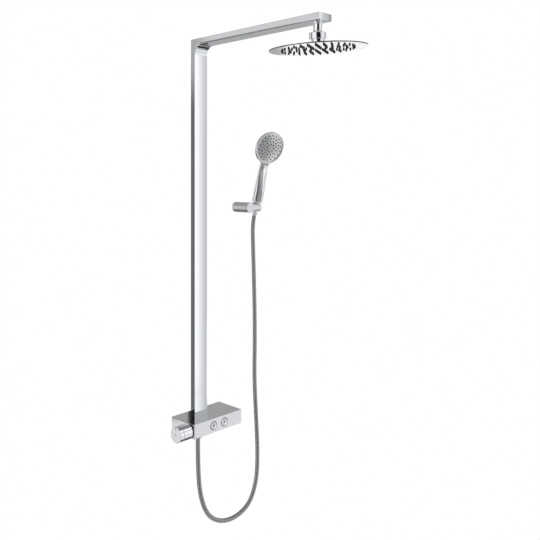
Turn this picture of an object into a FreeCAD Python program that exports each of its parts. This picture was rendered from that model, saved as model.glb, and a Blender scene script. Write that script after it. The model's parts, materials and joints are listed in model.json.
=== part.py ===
import FreeCAD, Part
import math
import os
from FreeCAD import Placement, Rotation, Vector

# Thermostatic shower column, in millimetres. The wall is the plane y = 0 and the shower stands
# out of it towards -Y. The origin lies on the wall midway between the two inlets, +Z is up.

# Fits and cuts
overrun = 5.0
seat_gap = 0.05
run_gap = 0.06
free_gap = 0.3

# Mixer casing
mixer_depth = 100.0
mixer_height = 40.5
mixer_wall = 2.2
mixer_corner_r = 2.8
mixer_edge_r = 1.5
rear_cover_thick = 2.5
cover_screw_inset = 27.0
cover_screw_r = 2.0
cover_screw_head_r = 4.0
cover_screw_length = 16.0
cover_boss_r = 5.0

# Inlets
inlet_spacing = 150.0
inlet_margin = 17.5
inlet_thread_r = 9.3
inlet_thread_depth = 14.0
inlet_waterway_r = 7.0
union_r = 12.5
union_set = 0.5
union_length = 33.5
union_spigot_r = 9.5
union_spigot_length = 9.0
filter_thick = 3.0
check_valve_set = 24.0
check_valve_length = 16.0
check_valve_bore_r = 3.5

# Cast valve body
gallery_depth = 32.0
gallery_height = 26.0
gallery_edge = 3.0
barrel_r = 15.5
barrel_length = 50.0
barrel_end_gap = 0.3
button_barrel_r = 12.5
outlet_boss_r = 13.0
riser_boss_width = 40.0
riser_boss_drop = 22.0

# Thermostat and its knob, lengths measured outwards from the mixer's left end
knob_axis_set = 78.0
knob_r = 22.4
knob_length = 47.0
knob_grip_length = 29.0
knob_cavity_r = 18.0
knob_cavity_depth = 12.6
knob_line_width = 0.9
knob_edge = 1.0
cap_spigot_r = 19.0
cap_spigot_length = 2.5
collar_r = 21.0
collar_length = 4.0
cartridge_r = 12.0
cartridge_length = 46.0
cartridge_head_r = 14.5
cartridge_head_rise = 2.0
spindle_r = 4.0
spindle_depth = 24.0
spindle_hub_length = 10.0
knob_screw_r = 2.0
knob_screw_length = 12.0
knob_screw_head_r = 3.8
knob_screw_head_length = 2.4
stop_ring_inner_r = 9.0
stop_ring_length = 4.0
stop_lug_inner_r = 10.0
stop_lug_outer_r = 14.0
stop_lug_length = 3.0
stop_lug_start_deg = 110.0
stop_lug_sweep_deg = 110.0
knob_lug_sweep_deg = 30.0
index_dot_r = 1.3
index_dot_depth = 0.4
index_dot_radius = 15.5

# Push buttons, lengths measured outwards from the mixer's front
button_spacing = 41.5
button_offset = 2.0
bezel_r = 14.4
bezel_bore_r = 12.2
bezel_neck_r = 13.3
bezel_neck_length = 9.0
bezel_rise = 1.0
bezel_edge = 0.5
button_thick = 6.2
button_rise = 1.2
button_rim_width = 1.6
button_edge = 0.4
button_dish = 0.6
button_travel = 4.0
button_stem_r = 3.5
button_stem_length = 19.0
button_valve_set = 13.0
button_valve_r = 10.0
button_valve_length = 25.0
button_valve_flange_r = 12.0
button_valve_flange = 2.0
spring_wire = 0.8
spring_coil_r = 6.0
spring_turns = 3

# Rectangular column and arm
riser_width = 48.0
riser_thick = 18.0
riser_wall = 1.5
riser_edge_r = 1.0
riser_wall_gap = 3.0
column_rise = 1105.0
arm_reach = 498.0
elbow_leg = 45.0
elbow_waterway_r = 5.0
end_cap_thick = 3.0
spigot_length = 16.0
spigot_gap = 0.1
seal_set = 7.0
seal_width = 2.4
seal_depth = 1.2
foot_flange_thick = 4.0
foot_flange_margin = 1.8
foot_waterway_width = 30.0
foot_waterway_depth = 7.0
bracket_drop = 110.0
bracket_width = 34.0
bracket_height = 64.0
bracket_stub_r = 8.0
bracket_stub_length = 10.5
bracket_hole_r = 2.3
bracket_hole_spacing = 44.0
grub_screw_r = 2.0

# Overhead shower, heights measured from the ball's centre unless named as drops below the arm
head_setback = 27.0
bush_length = 32.0
nipple_stem_r = 8.0
nipple_stem_length = 11.0
nipple_ring_r = 12.0
nipple_ring_drop = 5.5
nipple_groove_r = 10.6
nipple_groove_width = 0.8
nipple_neck_r = 11.5
nipple_neck_drop = 24.0
nipple_neck_edge = 1.5
nipple_throat_r = 7.5
nipple_bore_r = 4.0
ball_r = 13.0
ball_drop = 37.0
ball_seat_r = 15.0
ball_seat_half = 6.0
ball_nut_r = 22.0
ball_nut_top = 10.0
ball_nut_bottom = -6.0
ball_nut_edge = 1.5
ball_nut_chamfer = 3.5
socket_spigot_r = 17.5
socket_spigot_top = -1.0
socket_collar_r = 17.8
socket_foot_r = 18.75
socket_step = -16.0
socket_bottom = -28.0
socket_bore_r = 6.0
disc_r = 125.0
disc_thick = 3.0
disc_shell_thick = 1.2
disc_plate_thick = 1.0
disc_lip_width = 1.2
disc_seat_width = 3.0
disc_edge = 0.5
head_rest_tilt_deg = -4.7
nozzle_sides = 6
head_nozzle_base_r = 2.7
head_nozzle_tip_r = 1.7
head_nozzle_length = 4.0
head_nozzle_field_r = 92.0
head_nozzle_rings = 5
head_nozzle_first_count = 6

# Handset holder
holder_x = 162.0
holder_z = 622.0
holder_post_r = 16.0
holder_post_length = 67.0
holder_post_edge = 0.8
holder_cavity_r = 13.0
holder_cavity_depth = 40.0
holder_base_thick = 12.0
holder_hole_r = 2.2
holder_hole_spacing = 14.0
holder_grub_set = 6.0
holder_grub_bite = 4.0
cross_set = 50.0
cross_r = 14.5
cross_reach = 53.0
cross_edge = 0.8
seat_reach = 41.0

# Handset, heights measured up its own axis from the axis of the holder's cross piece
handset_tilt_deg = 16.0
handset_rest_turn_deg = -9.3
handle_start = 18.0
handle_length = 168.0
handle_bottom_r = 17.0
handle_station_shares = (0.0, 0.27, 0.55, 0.71, 0.8, 0.89, 1.0)
handle_width_shares = (1.0, 0.97, 0.9, 0.87, 1.0, 1.46, 1.9)
handle_depth_shares = (1.0, 0.97, 0.9, 0.8, 0.7, 0.58, 0.42)
handle_shift_shares = (0.0, -0.02, -0.02, 0.08, 0.14, 0.14, 0.08)
face_rise = 9.2
face_forward = 12.9
face_nod_deg = 3.8
face_r = 51.0
face_rim_width = 4.4
face_rim_depth = 7.0
face_rim_edge = 1.4
face_plate_set = 0.6
face_plate_thick = 2.4
face_shell_margin = 0.6
dome_depth = 22.0
face_nozzle_radii = (12.0, 21.9, 31.1, 39.3)
face_nozzle_counts = (8, 12, 18, 18)
face_nozzle_base_r = 1.5
face_nozzle_tip_r = 1.2
face_nozzle_length = 1.0
insert_r = 10.4
insert_bottom = -1.0
insert_depth = 14.0
insert_bore_r = 6.0

# Hose, its end pieces and the outlet under the mixer
hose_r = 6.5
hose_valley_r = 5.8
hose_bore_r = 4.3
hose_ribs = 48
rib_station_shares = (0.0, 0.2, 0.65, 0.85)
arc_share = 0.45
hose_lead = 28.0
hose_tail = 82.0
cone_top = 12.0
cone_top_r = 12.6
cone_waist = -3.0
cone_waist_r = 11.9
cone_toe = -16.0
cone_toe_r = 8.5
cone_bottom = -26.0
cone_bottom_r = 8.2
washer_r = 9.6
washer_bore_r = 4.5
washer_thick = 2.0
ferrule_flange_r = 9.6
ferrule_flange_thick = 2.4
ferrule_r = 7.0
ferrule_bore_r = 4.0
ferrule_reach = 2.0
outlet_x = -34.5
outlet_set = 48.0
outlet_stem_r = 10.2
outlet_stem_up = 10.0
outlet_flange_r = 13.0
outlet_flange_thick = 2.0
outlet_thread_length = 10.0
outlet_bore_r = 6.0
lower_nut_r = 12.0
lower_nut_length = 22.0
lower_nut_gap = 0.5
lower_nut_edge = 1.2

# Points of the hanging hose between its two straight ends, from the handset down and round
hose_points = (
    (205.5, -34.0, 500.0),
    (210.0, -35.5, 345.0),
    (210.0, -38.0, 205.0),
    (204.0, -41.0, 80.0),
    (210.0, -43.0, -40.0),
    (214.5, -45.0, -140.0),
    (212.5, -46.0, -212.0),
    (203.0, -46.5, -263.5),
    (174.5, -47.0, -312.0),
    (118.0, -47.5, -332.0),
    (56.0, -48.5, -323.5),
    (3.0, -48.5, -287.0),
    (-26.0, -48.2, -218.0),
)

# Places worked out from the sizes above
X = Vector(1, 0, 0)
Y = Vector(0, 1, 0)
Z = Vector(0, 0, 1)
half_width = inlet_spacing / 2 + inlet_margin
half_height = mixer_height / 2
inner_half_width = half_width - mixer_wall
inner_top = half_height - mixer_wall
union_end = union_set + union_length
gallery_front = union_end + gallery_depth
arm_top = half_height + column_rise
arm_under = arm_top - riser_thick
riser_front = riser_wall_gap + riser_thick
riser_middle = riser_wall_gap + riser_thick / 2
elbow_base = arm_top - elbow_leg
arm_start = riser_wall_gap + elbow_leg
arm_end = riser_wall_gap + arm_reach
bracket_z = arm_top - bracket_drop
barrel_start = -(mixer_wall + barrel_end_gap)
knob_start = collar_length + free_gap
knob_end = knob_start + knob_grip_length
knob_floor = knob_start + knob_cavity_depth
knob_base = Vector(-half_width, -knob_axis_set, 0)
foot_under = inner_top - foot_flange_thick
head_axis_y = head_setback - arm_end
ball_centre = Vector(0, head_axis_y, arm_under - ball_drop)
cup_r = ball_seat_r + run_gap
disc_bottom = socket_bottom - disc_thick
holder_axis = Vector(holder_x, 0, holder_z)
seat_centre = Vector(holder_x + seat_reach, -cross_set, holder_z)
handset_place = Placement(seat_centre, Rotation(X, handset_tilt_deg) * Rotation(Z, handset_rest_turn_deg))
face_place = Placement(
    Vector(0, -face_forward, handle_start + handle_length + face_rise),
    Rotation(X, face_nod_deg) * Rotation(Z, -Y),
)
outlet = Vector(outlet_x, -outlet_set, -half_height)
handset_down = handset_place.Rotation.multVec(-Z)


def box(x0, x1, y0, y1, z0, z1):
    """Block between three pairs of coordinates."""
    return Part.makeBox(x1 - x0, y1 - y0, z1 - z0, Vector(x0, y0, z0))


def rod(radius, start, end):
    """Round bar between two points."""
    run = end - start
    return Part.makeCylinder(radius, run.Length, start, run)


def turned(profile, base=Vector(), axis=Z):
    """Closed (radius, height) outline revolved about an axis through base."""
    points = [Vector(radius, 0, height) for radius, height in profile]
    face = Part.Face(Part.makePolygon(points + points[:1]))
    solid = face.revolve(Vector(), Z, 360)
    solid.Placement = Placement(base, Rotation(Z, axis))
    return solid


def sleeve(outer, inner, low, high, base=Vector(), axis=Z):
    """Plain ring or tube between two heights on an axis."""
    return turned([(inner, low), (outer, low), (outer, high), (inner, high)], base, axis)


def sector(inner, outer, low, high, start_deg, sweep_deg, base, axis):
    """Part of a ring, its angle counted about the axis from the upward direction."""
    outline = [Vector(inner, 0, low), Vector(outer, 0, low), Vector(outer, 0, high), Vector(inner, 0, high)]
    face = Part.Face(Part.makePolygon(outline + outline[:1]))
    solid = face.revolve(Vector(), Z, sweep_deg)
    solid.rotate(Vector(), Z, start_deg)
    up_first = Rotation(Z, axis.cross(Z), axis, "ZXY")
    solid.Placement = Placement(base, up_first) * solid.Placement
    return solid


def joined(shapes):
    """Shapes made into one solid."""
    return shapes[0].multiFuse(shapes[1:]).removeSplitter()


def drilled(shape, cuts):
    """Shape with every cutter taken out of it."""
    return shape.cut(cuts)


def frustum(sides, base_r, tip_r, length):
    """Small pointed nub with few sides, standing on the plane z = 0."""
    rings = []
    for radius, height in ((base_r, 0), (tip_r, length)):
        turns = [math.tau * i / sides for i in range(sides)]
        rings.append([Vector(radius * math.cos(a), radius * math.sin(a), height) for a in turns])
    low, high = rings
    outlines = [low, high]
    for i in range(sides):
        outlines.append([low[i - 1], low[i], high[i], high[i - 1]])
    faces = [Part.Face(Part.makePolygon(corners + corners[:1])) for corners in outlines]
    return Part.Solid(Part.Shell(faces))


def nozzle_field(nub, radii, counts, place):
    """Rings of nubs on a face, every second ring turned by half a step."""
    nubs = []
    for number, (radius, count) in enumerate(zip(radii, counts)):
        for step in range(count):
            angle = math.tau * (step + number / 2) / count
            spot = Vector(radius * math.cos(angle), radius * math.sin(angle), 0)
            copy = nub.copy()
            copy.Placement = place * Placement(spot, Rotation())
            nubs.append(copy)
    return Part.makeCompound(nubs)


def arc_edge(start, leaving, end):
    """Circular arc that leaves start along a direction and stops at end."""
    chord = end - start
    along = Vector(chord).normalize()
    side = leaving - along * leaving.dot(along)
    half_turn = leaving.getAngle(along)
    middle = (start + end) / 2 + side.normalize() * (chord.Length / 2 * math.tan(half_turn / 2))
    return Part.Arc(start, middle, end).toShape()


def biarc(start, leaving, end, arriving):
    """Two tangent arcs that lead from one point and direction to another."""
    span = end - start
    total = leaving + arriving
    spread = 2 * (1 - leaving.dot(arriving))
    reach = span.dot(total)
    size = (math.sqrt(reach * reach + spread * span.dot(span)) - reach) / spread
    meeting = (start + leaving * size + end - arriving * size) / 2
    back = arc_edge(end, -arriving, meeting)
    return [arc_edge(start, leaving, meeting), back]


def coil_spring(base, axis, low, high):
    """Square wire wound about an axis in quarter-turn biarcs, with its gap between turns printed."""
    pitch = (high - low - spring_wire) / spring_turns
    slope = pitch / math.tau
    quarters = range(4 * spring_turns + 1)
    points, ways = [], []
    for number in quarters:
        a = math.tau * number / 4
        points.append(Vector(spring_coil_r * math.cos(a), spring_coil_r * math.sin(a), slope * a))
        ways.append(Vector(-spring_coil_r * math.sin(a), spring_coil_r * math.cos(a), slope).normalize())
    edges = []
    for number in quarters[1:]:
        edges += biarc(points[number - 1], ways[number - 1], points[number], ways[number])
    wire = Part.Wire(Part.__sortEdges__(edges))
    out = X * (spring_wire / 2)
    up = ways[0].cross(out)
    corners = [points[0] + out + up, points[0] - out + up, points[0] - out - up, points[0] + out - up]
    section = Part.makePolygon(corners + corners[:1])
    solid = wire.makePipeShell([section], True, False)
    solid.Placement = Placement(base + axis * (low + spring_wire / 2), Rotation(Z, axis))
    print("spring gap between turns %.2f" % (pitch - spring_wire))
    return solid


def mixer_shell():
    """Rounded casing, open at the back, with the holes for everything that passes through it."""
    shell = box(-half_width, half_width, -mixer_depth, 0, -half_height, half_height)
    room = box(-inner_half_width, inner_half_width, mixer_wall - mixer_depth, overrun, -inner_top, inner_top)
    shell = shell.makeFillet(mixer_corner_r, front_uprights(shell))
    room = room.makeFillet(mixer_corner_r - mixer_wall, front_uprights(room))
    rims = [e for e in shell.Edges if e.BoundBox.ZLength < seat_gap and e.CenterOfMass.y < -mixer_wall]
    shell = shell.makeFillet(mixer_edge_r, rims)
    plug_x = riser_width / 2 - riser_wall - spigot_gap + seat_gap
    plug_y = riser_thick / 2 - riser_wall - spigot_gap + seat_gap
    foot_hole = box(-plug_x, plug_x, -riser_middle - plug_y, plug_y - riser_middle, 0, half_height + overrun)
    head_hole_r = cartridge_head_r + seat_gap
    knob_hole = rod(head_hole_r, knob_base - X * overrun, knob_base + X * (mixer_wall + overrun))
    outlet_hole = rod(outlet_stem_r + seat_gap, outlet - Z * overrun, outlet + Z * (mixer_wall + overrun))
    cuts = [room, foot_hole, knob_hole, outlet_hole]
    for base in button_bases():
        cuts.append(rod(bezel_neck_r + seat_gap, base - Y * overrun, base + Y * (mixer_wall + overrun)))
    return drilled(shell, cuts)


def front_uprights(block):
    """Vertical edges of a block on its side away from the wall."""
    return [e for e in block.Edges if e.BoundBox.ZLength > mixer_wall and e.CenterOfMass.y < -mixer_depth / 2]


def button_bases():
    """Centres of the two buttons on the mixer's front, the overhead shower's first."""
    half_spacing = button_spacing / 2
    return [Vector(button_offset + side * half_spacing, -mixer_depth, 0) for side in (-1, 1)]


def inlet_bases():
    """Points on the wall where the two inlets arrive, the hot one first."""
    return [Vector(side * inlet_spacing / 2, 0, 0) for side in (-1, 1)]


def cover_screw_bases():
    """Points on the rear cover's outer face where its screws enter."""
    half_spacing = inlet_spacing / 2 - cover_screw_inset
    return [Vector(side * half_spacing, 0, 0) for side in (-1, 1)]


def rear_cover():
    """Flat plate that closes the casing against the wall."""
    side = inner_half_width - seat_gap
    top = inner_top - seat_gap
    cuts = [rod(union_r + seat_gap, base - Y * (rear_cover_thick + overrun), base + Y * overrun)
            for base in inlet_bases()]
    for base in cover_screw_bases():
        cuts.append(screw_shape(seat_gap, base))
    return drilled(box(-side, side, -rear_cover_thick, 0, -top, top), cuts)


def screw_shape(gap, base):
    """Countersunk screw that enters along -Y, enlarged by a gap where it serves as a cutter."""
    head_depth = cover_screw_head_r - cover_screw_r
    profile = [
        (0, 0),
        (cover_screw_head_r + gap, 0),
        (cover_screw_r + gap, head_depth),
        (cover_screw_r + gap, cover_screw_length + gap),
        (0, cover_screw_length + gap),
    ]
    return turned(profile, base, -Y)


def rear_cover_screws():
    """The two screws that hold the rear cover to the valve body."""
    return Part.makeCompound([screw_shape(0, base) for base in cover_screw_bases()])


def valve_body():
    """Machined body: cross gallery, thermostat barrel, button barrels and the bosses for every fitting."""
    half_length = inner_half_width - barrel_end_gap
    half_gallery = gallery_height / 2
    half_boss = riser_boss_width / 2
    gallery = box(-half_length, half_length, -gallery_front, -union_end, -half_gallery, half_gallery)
    long_edges = [e for e in gallery.Edges if e.BoundBox.XLength > half_length]
    gallery = gallery.makeChamfer(gallery_edge, long_edges)
    pocket = Vector(outlet_x, -outlet_set, -inner_top + seat_gap)
    solids = [
        gallery,
        rod(barrel_r, knob_base - X * barrel_start, knob_base - X * (barrel_start - barrel_length)),
        box(-half_boss, half_boss, -union_end - overrun, foot_flange_margin - riser_middle,
            foot_under - riser_boss_drop, foot_under),
        rod(outlet_boss_r, pocket, pocket + Z * half_gallery),
    ]
    cuts = [
        rod(cartridge_r + seat_gap, knob_base - X * (barrel_start + overrun),
            knob_base - X * (barrel_start - cartridge_length - seat_gap)),
        rod(outlet_stem_r + seat_gap, outlet, outlet + Z * (mixer_wall + outlet_stem_up + seat_gap)),
    ]
    for base in inlet_bases():
        cuts.append(rod(union_spigot_r + seat_gap, base - Y * (union_end + union_spigot_length + seat_gap),
                        base - Y * (union_end - overrun)))
    for base in button_bases():
        front = base + Y * (button_valve_set + button_valve_flange)
        depth = button_valve_length - button_valve_flange + seat_gap
        solids.append(rod(button_barrel_r, front, Vector(base.x, overrun - gallery_front, 0)))
        cuts.append(rod(button_valve_r + seat_gap, front - Y * overrun, front + Y * depth))
    for base in cover_screw_bases():
        solids.append(rod(cover_boss_r, base - Y * (union_end + overrun), base - Y * rear_cover_thick))
        cuts.append(screw_shape(seat_gap, base))
    return drilled(joined(solids), cuts)


def inlet_union(base):
    """Threaded connection for a wall pipe, its mouth just short of the wall."""
    mouth = union_set + inlet_thread_depth
    tail = union_end + union_spigot_length
    profile = [
        (inlet_thread_r, union_set),
        (union_r, union_set),
        (union_r, union_end),
        (union_spigot_r, union_end),
        (union_spigot_r, tail),
        (inlet_waterway_r, tail),
        (inlet_waterway_r, mouth),
        (inlet_thread_r, mouth),
    ]
    return turned(profile, base, -Y)


def check_valves():
    """Non-return valve in each inlet."""
    ends = (check_valve_set, check_valve_set + check_valve_length)
    radius = inlet_waterway_r - seat_gap
    return Part.makeCompound([sleeve(radius, check_valve_bore_r, *ends, base, -Y) for base in inlet_bases()])


def inlet_filters():
    """Strainer disc in each inlet, just behind the thread."""
    start = union_set + inlet_thread_depth
    radius = inlet_waterway_r - seat_gap
    return Part.makeCompound([rod(radius, base - Y * (start + filter_thick), base - Y * start)
                              for base in inlet_bases()])


def thermostat_cartridge():
    """Mixing cartridge: body in the barrel, head through the casing, hole for the spindle."""
    inner_end = barrel_start - cartridge_length
    hole = spindle_r + run_gap
    profile = [
        (0, inner_end),
        (cartridge_r, inner_end),
        (cartridge_r, barrel_start),
        (cartridge_head_r, barrel_start),
        (cartridge_head_r, cartridge_head_rise),
        (hole, cartridge_head_rise),
        (hole, -spindle_depth - free_gap),
        (0, -spindle_depth - free_gap),
    ]
    return turned(profile, knob_base, -X)


def thermostat_stop_ring():
    """Fixed ring with the lug that ends the knob's turn both ways."""
    low = cartridge_head_rise
    high = low + stop_ring_length
    disc = sleeve(cartridge_head_r - seat_gap, stop_ring_inner_r, low, high, knob_base, -X)
    lug = sector(stop_lug_inner_r, stop_lug_outer_r, high - seat_gap, high + stop_lug_length,
                 stop_lug_start_deg, stop_lug_sweep_deg, knob_base, -X)
    return joined([disc, lug])


def knob_collar():
    """Fixed base ring between the mixer's end and the knob."""
    return sleeve(collar_r, cartridge_head_r + seat_gap, 0, collar_length, knob_base, -X)


def thermostat_spindle():
    """Shaft that the knob turns, threaded at its end for the knob's screw."""
    end = knob_floor + spindle_hub_length
    thread = knob_screw_r + seat_gap
    profile = [
        (0, -spindle_depth),
        (spindle_r, -spindle_depth),
        (spindle_r, end),
        (thread, end),
        (thread, end - knob_screw_length),
        (0, end - knob_screw_length),
    ]
    return turned(profile, knob_base, -X)


def temperature_knob():
    """Round knob, hollow over the collar, with a hub for the spindle and a stop lug."""
    hub_end = knob_floor + spindle_hub_length
    head_floor = hub_end + knob_edge
    recess = knob_end - cap_spigot_length
    profile = [
        (spindle_r + seat_gap, knob_floor),
        (knob_cavity_r, knob_floor),
        (knob_cavity_r, knob_start),
        (knob_r - knob_edge / 2, knob_start),
        (knob_r, knob_start + knob_edge / 2),
        (knob_r, knob_end - knob_edge / 2),
        (knob_r - knob_edge / 2, knob_end),
        (cap_spigot_r + seat_gap, knob_end),
        (cap_spigot_r + seat_gap, recess),
        (knob_screw_head_r + seat_gap, recess),
        (knob_screw_head_r + seat_gap, head_floor),
        (knob_screw_r + seat_gap, head_floor),
        (knob_screw_r + seat_gap, hub_end),
        (spindle_r + seat_gap, hub_end),
    ]
    lug_low = cartridge_head_rise + stop_ring_length + free_gap
    lug = sector(stop_lug_inner_r, stop_lug_outer_r, lug_low, knob_floor + seat_gap,
                 -knob_lug_sweep_deg / 2, knob_lug_sweep_deg, knob_base, -X)
    return joined([turned(profile, knob_base, -X), lug])


def knob_screw():
    """Screw that holds the knob on the spindle, under the end cap."""
    head_floor = knob_floor + spindle_hub_length + knob_edge
    tip = knob_floor + spindle_hub_length - knob_screw_length + free_gap
    profile = [
        (0, tip),
        (knob_screw_r, tip),
        (knob_screw_r, head_floor),
        (knob_screw_head_r, head_floor),
        (knob_screw_head_r, head_floor + knob_screw_head_length),
        (0, head_floor + knob_screw_head_length),
    ]
    return turned(profile, knob_base, -X)


def knob_end_cap():
    """Flat cap of the knob, set off by a fine line, with a shallow index dot."""
    start = knob_end + knob_line_width
    profile = [
        (0, knob_end - cap_spigot_length),
        (cap_spigot_r, knob_end - cap_spigot_length),
        (cap_spigot_r, start),
        (knob_r - knob_edge / 2, start),
        (knob_r, start + knob_edge / 2),
        (knob_r, knob_length - knob_edge),
        (knob_r - knob_edge, knob_length),
        (0, knob_length),
    ]
    spot = knob_base - X * knob_length + Z * index_dot_radius
    dot = rod(index_dot_r, spot - X * overrun, spot + X * index_dot_depth)
    return drilled(turned(profile, knob_base, -X), [dot])


def button_bezel(base):
    """Ring that frames a push button and guides it."""
    profile = [
        (bezel_bore_r, -bezel_neck_length),
        (bezel_neck_r, -bezel_neck_length),
        (bezel_neck_r, 0),
        (bezel_r, 0),
        (bezel_r, bezel_rise - bezel_edge),
        (bezel_r - bezel_edge, bezel_rise),
        (bezel_bore_r + bezel_edge, bezel_rise),
        (bezel_bore_r, bezel_rise - bezel_edge),
    ]
    return turned(profile, base, -Y)


def button_cap(base):
    """Dished push button with the stem that works its valve."""
    radius = bezel_bore_r - free_gap
    back = button_rise - button_thick
    profile = [
        (0, back - button_stem_length),
        (button_stem_r, back - button_stem_length),
        (button_stem_r, back),
        (radius, back),
        (radius, button_rise - button_edge),
        (radius - button_edge, button_rise),
        (radius - button_rim_width, button_rise),
        (0, button_rise - button_dish),
    ]
    return turned(profile, base, -Y)


def button_valve(base):
    """Shut-off cartridge behind a push button."""
    front = -button_valve_set
    hole = button_stem_r + run_gap
    stem_end = button_rise - button_thick - button_stem_length
    hole_end = stem_end - button_travel - free_gap
    profile = [
        (0, front - button_valve_length),
        (button_valve_r, front - button_valve_length),
        (button_valve_r, front - button_valve_flange),
        (button_valve_flange_r, front - button_valve_flange),
        (button_valve_flange_r, front),
        (hole, front),
        (hole, hole_end),
        (0, hole_end),
    ]
    return turned(profile, base, -Y)


def button_spring(base):
    """Return spring between a button and its valve."""
    return coil_spring(base, -Y, free_gap - button_valve_set, button_rise - button_thick - free_gap)


def plug_and_seal(base, turn_deg):
    """Plug that fills the end of a rectangular tube, with its seal, pointing up before it is turned."""
    half_x = riser_width / 2 - riser_wall - spigot_gap
    half_y = riser_thick / 2 - riser_wall - spigot_gap
    core_x = half_x - seal_depth
    core_y = half_y - seal_depth
    top = seal_set + seal_width
    seal = box(-half_x, half_x, -half_y, half_y, seal_set, top)
    seal = seal.cut(box(-core_x, core_x, -core_y, core_y, seal_set - overrun, top + overrun))
    plug = box(-half_x, half_x, -half_y, half_y, 0, spigot_length).cut(seal)
    for shape in (plug, seal):
        shape.Placement = Placement(base, Rotation(X, turn_deg))
    return plug, seal


def riser_foot_pieces():
    """Flanged foot that carries the column on the mixer, and its seal."""
    base = Vector(0, -riser_middle, half_height)
    plug, seal = plug_and_seal(base, 0)
    half_x = riser_width / 2 - riser_wall - spigot_gap
    half_y = riser_thick / 2 - riser_wall - spigot_gap
    wide_x = half_x + foot_flange_margin
    wide_y = half_y + foot_flange_margin
    neck = box(-half_x, half_x, -half_y - riser_middle, half_y - riser_middle, inner_top, half_height)
    flange = box(-wide_x, wide_x, -wide_y - riser_middle, wide_y - riser_middle, foot_under, inner_top)
    way_x = foot_waterway_width / 2
    way_y = foot_waterway_depth / 2
    water = box(-way_x, way_x, -way_y - riser_middle, way_y - riser_middle,
                foot_under - overrun, half_height + spigot_length + overrun)
    return drilled(joined([plug, neck, flange]), [water]), seal


def rectangular_tube(length, base, turn_deg):
    """Thin-walled column section with softened long edges, pointing up before it is turned."""
    half_x = riser_width / 2
    half_y = riser_thick / 2
    tube = box(-half_x, half_x, -half_y, half_y, 0, length)
    tube = tube.makeFillet(riser_edge_r, [e for e in tube.Edges if e.BoundBox.ZLength > length / 2])
    room_x = half_x - riser_wall
    room_y = half_y - riser_wall
    tube = tube.cut(box(-room_x, room_x, -room_y, room_y, -overrun, length + overrun))
    tube.Placement = Placement(base, Rotation(X, turn_deg))
    return tube


def riser_tube():
    """Upright column, with a hole behind for its wall bracket and one beside for the grub screw."""
    tube = rectangular_tube(elbow_base - half_height, Vector(0, -riser_middle, half_height), 0)
    spot = Vector(0, -riser_middle, bracket_z)
    stub_hole = rod(bracket_stub_r + spigot_gap, spot, spot + Y * (riser_thick / 2 + overrun))
    grub_hole = rod(grub_screw_r + seat_gap, spot, spot + X * (riser_width / 2 + overrun))
    return drilled(tube, [stub_hole, grub_hole])


def riser_wall_plate():
    """Bracket screwed to the wall, with a stub that the column hangs on."""
    low = bracket_z - bracket_height / 2
    plate = box(-bracket_width / 2, bracket_width / 2, -riser_wall_gap, 0, low, low + bracket_height)
    stub = rod(bracket_stub_r, Vector(0, -riser_wall_gap - bracket_stub_length, bracket_z),
               Vector(0, 0, bracket_z))
    holes = []
    for side in (-1, 1):
        spot = Vector(0, 0, bracket_z + side * bracket_hole_spacing / 2)
        holes.append(rod(bracket_hole_r, spot - Y * (riser_wall_gap + overrun), spot + Y * overrun))
    return drilled(joined([plate, stub]), holes)


def riser_grub_screw():
    """Grub screw through the column's side onto the bracket's stub."""
    spot = Vector(0, -riser_middle, bracket_z)
    return rod(grub_screw_r, spot + X * (bracket_stub_r + seat_gap), spot + X * (riser_width / 2))


def corner_elbow_pieces():
    """Corner between column and arm: sharp outside, round inside, with a sealed plug for each tube."""
    half_x = riser_width / 2
    bend = elbow_leg - riser_thick
    centre = Vector(-half_x, -riser_front - bend, elbow_base)
    corner = [
        Vector(-half_x, -riser_front, elbow_base),
        Vector(-half_x, -riser_wall_gap, elbow_base),
        Vector(-half_x, -riser_wall_gap, arm_top),
        Vector(-half_x, -arm_start, arm_top),
        Vector(-half_x, -arm_start, arm_under),
    ]
    middle = centre + Vector(0, bend, bend) * math.sqrt(1 / 2)
    outline = Part.makePolygon(corner).Edges + [Part.Arc(corner[-1], middle, corner[0]).toShape()]
    block = Part.Face(Part.Wire(outline)).extrude(X * riser_width)
    sides = [e for e in block.Edges if e.BoundBox.XLength < seat_gap and not on_seam(e)]
    block = block.makeFillet(riser_edge_r, sides)
    lower_plug, lower_seal = plug_and_seal(Vector(0, -riser_middle, elbow_base), 180)
    arm_plug, arm_seal = plug_and_seal(Vector(0, -arm_start, arm_top - riser_thick / 2), 90)
    turn = Vector(0, -riser_middle, arm_top - riser_thick / 2)
    water = [
        rod(elbow_waterway_r, turn, Vector(0, -riser_middle, elbow_base - spigot_length - overrun)),
        rod(elbow_waterway_r, turn, Vector(0, -arm_start - spigot_length - overrun, turn.z)),
    ]
    elbow = drilled(joined([block, lower_plug, arm_plug]), water)
    return elbow, Part.makeCompound([lower_seal, arm_seal])


def on_seam(edge):
    """Whether an edge lies where the corner meets a tube."""
    spot = edge.CenterOfMass
    return abs(spot.z - elbow_base) < seat_gap or abs(spot.y + arm_start) < seat_gap


def arm_tube():
    """Horizontal arm, with a hole below for the overhead shower's nipple."""
    length = arm_end - end_cap_thick - arm_start
    tube = rectangular_tube(length, Vector(0, -arm_start, arm_top - riser_thick / 2), 90)
    under = Vector(0, head_axis_y, arm_under)
    return drilled(tube, [rod(nipple_stem_r + seat_gap, under - Z * overrun, under + Z * overrun)])


def arm_end_cap():
    """Flat end of the arm, with a plug inside the tube."""
    half_x = riser_width / 2
    plate = box(-half_x, half_x, -arm_end, end_cap_thick - arm_end, arm_under, arm_top)
    edges = [e for e in plate.Edges if e.BoundBox.YLength > seat_gap]
    plate = plate.makeFillet(riser_edge_r, edges)
    inset = riser_wall + spigot_gap
    plug = box(inset - half_x, half_x - inset, end_cap_thick - arm_end, end_cap_thick + seal_set - arm_end,
               arm_under + inset, arm_top - inset)
    return joined([plate, plug])


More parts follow.
